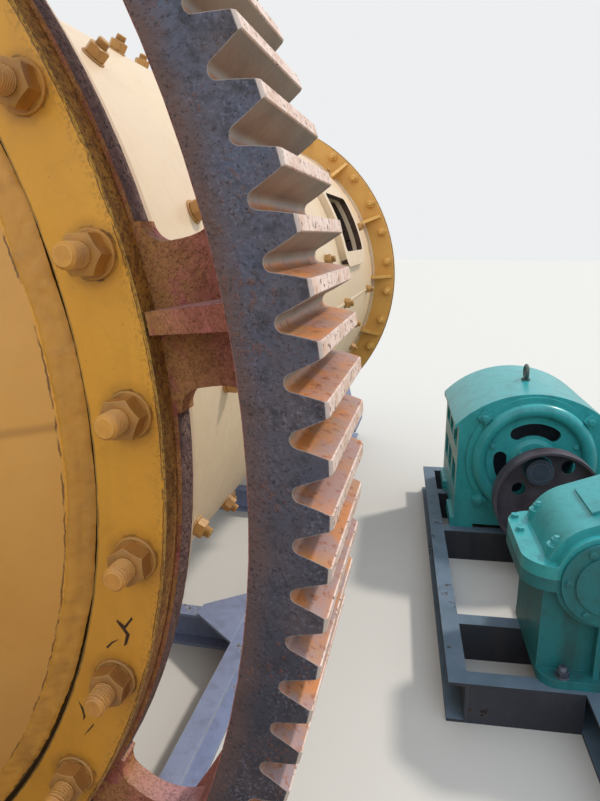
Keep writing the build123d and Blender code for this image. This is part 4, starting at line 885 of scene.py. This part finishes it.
flange_spots = [(along, FAST_EDGE) for along in (279, 379)]
flange_spots += [(along, SLOW_EDGE) for along in (101, 201, 279, 379)]
flange_bolts = on_top(flange_spots, AXIS_HEIGHT + FLANGE_HALF)
flange_bolts += on_top(flange_spots, AXIS_HEIGHT - FLANGE_HALF, DOWN)
pad_spots = [(along, INPUT_V + PAD_REACH) for along in (112, 368)]
pad_places = on_top(pad_spots, AXIS_HEIGHT + FLANGE_HALF)
pad_bolts = on_top(pad_spots, AXIS_HEIGHT + FLANGE_HALF + PAD_HEIGHT)
foot_bolts = on_top([(along, across) for along in (38, 442) for across in (-336, -1120)], FOOT_TOP)
pad_outline = [(0, 0), (PAD_R, 0), (PAD_R - 1, PAD_HEIGHT - 2), (PAD_R - PAD_EDGE, PAD_HEIGHT)]
pad = spun([(radius * MM, height * MM) for radius, height in (*pad_outline, (0, PAD_HEIGHT))], 32)
bearing_unit = stud_and_nut(BEARING_BOLT, BEARING_BOLT_OUT)
foot_unit = stud_and_nut(REDUCER_FOOT_BOLT, FOOT_BOLT_OUT)
flange_unit = hex_bolt(FLANGE_BOLT)
for name, unit, places, paint in (("reducer_flange_bolts", flange_unit, flange_bolts, green_paint),
                                  ("reducer_bolt_pads", pad, pad_places, green_paint),
                                  ("reducer_bearing_bolts", bearing_unit, pad_bolts, green_paint),
                                  ("reducer_foot_bolts", foot_unit, foot_bolts, hub_steel)):
    add_piece(name, repeated(unit, places), paint, "root")

# %% [markdown]
# The girth gear is two castings bolted together through webs beside the split. Two big bolts cross the
# split at each side, between the flange and the rim.

# %% Gear split bolts
SPLIT_BOLT = 30 * MM
SPLIT_BOLT_XS = (-1645 * MM, -1535 * MM)
SPLIT_BOLT_R = 955 * MM
SPLIT_WEB = 26 * MM
SPLIT_ANGLE = -103.31
split_nuts, split_heads = [], []
for angle in (SPLIT_ANGLE, SPLIT_ANGLE + 180):
    tangent = drum_point(0, 1, angle + 90) - Vector((0, 0, AXIS_Z))
    for x in SPLIT_BOLT_XS:
        seat = drum_point(x, SPLIT_BOLT_R, angle)
        split_nuts.append(fitted(seat + tangent * SPLIT_WEB, tangent))
        split_heads.append(fitted(seat - tangent * SPLIT_WEB, -tangent))
add_piece("gear_split_nuts", repeated(stud_and_nut(SPLIT_BOLT), split_nuts), gear_material, "drum")
add_piece("gear_split_heads", repeated(hex_bolt(SPLIT_BOLT), split_heads), gear_material, "drum")

# %% [markdown]
# Welds are laid by hand. A bead is a half-round strip along its seam, with ripples as wide as the pool
# of metal and an unsteady edge. It is spun or drawn out, and then its points are pushed about by noise.

# %% Bead helpers
SINK = 1 * MM
BEAD_STEP = 6 * MM
DRIFT_SIZE = 60 * MM


def rippled(bead, ripple_mm, height_mm, wander_mm):
    """Push a bead's points about, so that it looks laid by hand."""
    for vertex in bead.verts:
        push = noise.noise(vertex.co / (ripple_mm * MM)) * height_mm * MM
        drift = noise.noise_vector(vertex.co / DRIFT_SIZE) * wander_mm * MM
        vertex.co += vertex.normal * push + drift
    return bead


def low_arch(count, height):
    """Shares from -1 to 1 across a bead, each with the bead's height there."""
    shares = [2 * index / (count - 1) - 1 for index in range(count)]
    return [(share, height * sqrt(max(0.0, 1 - share * share)) - SINK) for share in shares]


def ring_bead(x_points, steps):
    """A bead round the drum from (x, radius) points."""
    bead = bmesh.new()
    strip = [bead.verts.new(drum_point(x, radius, 0)) for x, radius in x_points]
    edges = [bead.edges.new(pair) for pair in zip(strip, strip[1:])]
    bmesh.ops.spin(bead, geom=strip + edges, cent=(0, 0, AXIS_Z), axis=(-1, 0, 0), angle=2 * pi,
                   steps=steps, use_merge=True)
    bead.normal_update()
    return bead


def straight_bead(start, end, across, outwards, half_width, height):
    """A bead along a line, with its low arch across it."""
    bead = bmesh.new()
    strip = [bead.verts.new(start + across * (half_width * share) + outwards * lift)
             for share, lift in low_arch(7, height)]
    edges = [bead.edges.new(pair) for pair in zip(strip, strip[1:])]
    count = max(2, round((end - start).length / BEAD_STEP))
    for _ in range(count):
        grown = bmesh.ops.extrude_edge_only(bead, edges=edges)["geom"]
        ends = [item for item in grown if isinstance(item, bmesh.types.BMVert)]
        edges = [item for item in grown if isinstance(item, bmesh.types.BMEdge)]
        bmesh.ops.translate(bead, vec=(end - start) / count, verts=ends)
    bead.normal_update()
    return bead


# %% [markdown]
# The bead inside each head's flange fills the corner where the cone begins, so its arch starts from the
# cone's slope. Low down it is drawn in a little, which opens the groove where dirt lies, painted darker
# there as shade.

# %% Head welds
CONE_EDGE_R, CONE_RISE = 793 * MM, 0.65
HEAD_BEAD_R, HEAD_BEAD_HALF, HEAD_BEAD_HEIGHT = 790 * MM, 15 * MM, 6 * MM
HEAD_BEAD_STEPS = 1100
GROOVE_OPENING = 0.007


def cone_profile(x, direction):
    """A low arch of (x, radius) points over the corner between a flange and its cone."""
    spots = [(HEAD_BEAD_R + HEAD_BEAD_HALF * share, lift)
             for share, lift in low_arch(9, HEAD_BEAD_HEIGHT)]
    return [(x + direction * (max(0.0, CONE_EDGE_R - radius) * CONE_RISE + lift), radius)
            for radius, lift in spots]


for name, x, direction in (("discharge_head_weld", FACE_X, -1), ("feed_head_weld", FEED_FACE_X, 1)):
    bead = rippled(ring_bead(cone_profile(x, direction), HEAD_BEAD_STEPS), 6, 1.8, 2.0)
    for vertex in bead.verts:
        low_down = min(1.0, max(0.0, (AXIS_Z - vertex.co.z - 0.1) / 0.4))
        vertex.co.y *= 1 - GROOVE_OPENING * low_down
        vertex.co.z += (AXIS_Z - vertex.co.z) * GROOVE_OPENING * low_down
    add_piece(name, bead, weld_paint, "drum", 80)

# %% [markdown]
# The shell is rolled in two courses. A seam runs round it where they meet, each course has two seams
# along it, and a corner bead joins the shell to both of its flanges.

# %% Shell welds
SEAM_HALF, SEAM_HEIGHT, CORNER_SIZE = 9 * MM, 3.5 * MM, 10 * MM
RING_STEPS = 600
COURSE_SEAM_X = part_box("shell_discharge_drive_half")[1][0]
FEED_COURSE, DISCHARGE_COURSE = (COURSE_SEAM_X, FEED_STACK_X), (DISCHARGE_STACK_X, COURSE_SEAM_X)


def corner_profile(x, side):
    """The slope of (x, radius) points that fills the corner between the shell and a flange."""
    return [(x + side * CORNER_SIZE * share, SHELL_R + CORNER_SIZE * (1 - share) ** 1.4 - 0.5 * MM)
            for share in (0.0, 0.15, 0.4, 0.65, 0.85, 1.0)]


round_profile = [(COURSE_SEAM_X + SEAM_HALF * share, SHELL_R + lift)
                 for share, lift in low_arch(7, SEAM_HEIGHT)]
seams = [rippled(ring_bead(round_profile, RING_STEPS), 8, 0.8, 1.0)]
for (low, high), angle in ((FEED_COURSE, -2.4), (FEED_COURSE, 177.6),
                           (DISCHARGE_COURSE, -92.4), (DISCHARGE_COURSE, 87.6)):
    outwards = (drum_point(0, 1, angle) - Vector((0, 0, AXIS_Z))).normalized()
    across = Vector((1, 0, 0)).cross(outwards)
    line = straight_bead(drum_point(low, SHELL_R, angle), drum_point(high, SHELL_R, angle), across,
                         outwards, SEAM_HALF, SEAM_HEIGHT)
    seams.append(rippled(line, 8, 0.8, 1.0))
for x, side in ((DISCHARGE_STACK_X, 1), (FEED_STACK_X, -1)):
    seams.append(rippled(ring_bead(corner_profile(x, side), RING_STEPS), 8, 1.2, 1.0))
add_piece("shell_seam_welds", merged(*seams), shell_paint, "drum", 80)

# %% [markdown]
# In a few places the paint on the discharge head has split and curled off. Each gap is a small flat
# shape of bare dark metal just in front of the face, outlined in millimetres from the drum's axis.

# %% Split paint
SPLIT_LIFT = 0.4 * MM
SPLITS = (
    ((-838, -183), (-828, -196), (-819, -189), (-818, -192), (-825, -202), (-829, -208), (-825, -224),
     (-829, -221), (-834, -207), (-829, -200), (-839, -186)),
    ((-802, -228), (-810, -220), (-820, -215), (-811, -222), (-803, -231)),
    ((-757, -311), (-763, -321), (-765, -334), (-761, -340), (-762, -332), (-760, -322)),
    ((-776, -341), (-768, -351), (-760, -363), (-767, -355), (-775, -345)),
)


def split_paint():
    """Thin dark shapes in front of the discharge flange."""
    shape = bmesh.new()
    for outline in SPLITS:
        corners = [shape.verts.new((FACE_X - SPLIT_LIFT, y * MM, AXIS_Z + z * MM)) for y, z in outline]
        shape.faces.new(corners)
    return shape


add_piece("discharge_head_splits", split_paint(), split_metal, "drum")

# %% [markdown]
# The base frame's long beams are welded to its cross members. A short bead runs up each corner between
# them, apart from the corners at the frame's very ends, where nothing meets.

# %% Frame welds
BEAM_Y, CHANNEL_HALF = 540 * MM, 30 * MM
MEMBER_XS = (-2370, -1930, -269, 900, 1930, 2370)
LAST_BEAD_X = 2395 * MM
BEAD_FOOT, BEAD_LENGTH, BEAD_HALF, BEAD_HEIGHT = 12 * MM, 112 * MM, 5 * MM, 4 * MM
frame_beads = []
for edge_x in [member * MM + reach for member in MEMBER_XS for reach in (-CHANNEL_HALF, CHANNEL_HALF)]:
    if abs(edge_x) > LAST_BEAD_X:
        continue
    for side in (-1, 1):
        foot = Vector((edge_x, side * (BEAM_Y - SINK), BEAD_FOOT))
        bead = straight_bead(foot, foot + Vector((0, 0, BEAD_LENGTH)), Vector((1, 0, 0)),
                             Vector((0, -side, 0)), BEAD_HALF, BEAD_HEIGHT)
        frame_beads.append(rippled(bead, 6, 0.8, 0.6))
add_piece("base_frame_welds", merged(*frame_beads), base_paint, "root", 80)

# %% [markdown]
# The stage is a plain pale floor, pale to the camera and earthy in the light that it throws back, as the
# ground under such a mill is. The light is a soft sun from high on the drive side, and an open sky that
# is brighter overhead. The sky shows pale to the camera without adding light.

# %% Floor and light
FLOOR_REACH = 40
SUN_DIRECTION = Vector((-0.42, 0.5, -0.76))


def build_floor():
    """A wide pale floor under the mill."""
    grid = bmesh.new()
    bmesh.ops.create_grid(grid, x_segments=1, y_segments=1, size=FLOOR_REACH)
    mesh = bpy.data.meshes.new("floor")
    grid.to_mesh(mesh)
    grid.free()
    floor = new_object("floor", mesh)
    material, tree = new_material("pale_floor")
    seen = add(tree, "LightPath").outputs["Is Camera Ray"]
    colour = over(tree, "#A09280", "#CFCBC4", seen)
    surface = add(tree, "BsdfPrincipled", {"Base Color": colour, "Roughness": 0.9})
    add(tree, "OutputMaterial", {"Surface": surface})
    mesh.materials.append(material)


def build_light():
    """A soft sun and an open sky."""
    sun = new_object("sun", bpy.data.lights.new("sun", "SUN"))
    sun.data.energy = 1.9
    sun.data.angle = radians(5)
    sun.data.color = (1.0, 0.94, 0.86)
    sun.rotation_euler = SUN_DIRECTION.to_track_quat("-Z", "Y").to_euler()
    world = bpy.data.worlds.new("sky")
    world.use_nodes = True
    tree = world.node_tree
    tree.nodes.clear()
    path = add(tree, "LightPath")
    rays = {0: path.outputs["Is Camera Ray"], 1: path.outputs["Is Glossy Ray"]}
    shown = add(tree, "Math", rays, operation="MAXIMUM")
    towards = {0: add(tree, "TexCoord").outputs["Generated"]}
    forward, _, upward = add(tree, "SeparateXYZ", towards).outputs
    open_sky = over(tree, "#D6E0D8", "#E4EEFC", add(tree, "MapRange", {0: upward, 1: 0.0, 2: 0.8}))
    ahead = add(tree, "MapRange", {0: forward, 1: -0.1, 2: -0.9, 3: 1.0, 4: 1.75})
    strength = times(tree, add(tree, "MapRange", {0: upward, 1: 0.0, 2: 0.9, 3: 0.75, 4: 1.2}), ahead)
    light = add(tree, "Background", {"Color": open_sky, "Strength": strength})
    backdrop = add(tree, "Background", {"Color": hexa("#EDEFF0"), "Strength": 1.0})
    both = add(tree, "MixShader", {0: shown, 1: light, 2: backdrop})
    add(tree, "OutputWorld", {"Surface": both})
    bpy.context.scene.world = world


build_floor()
build_light()
print("floor and light are in place")

# %% [markdown]
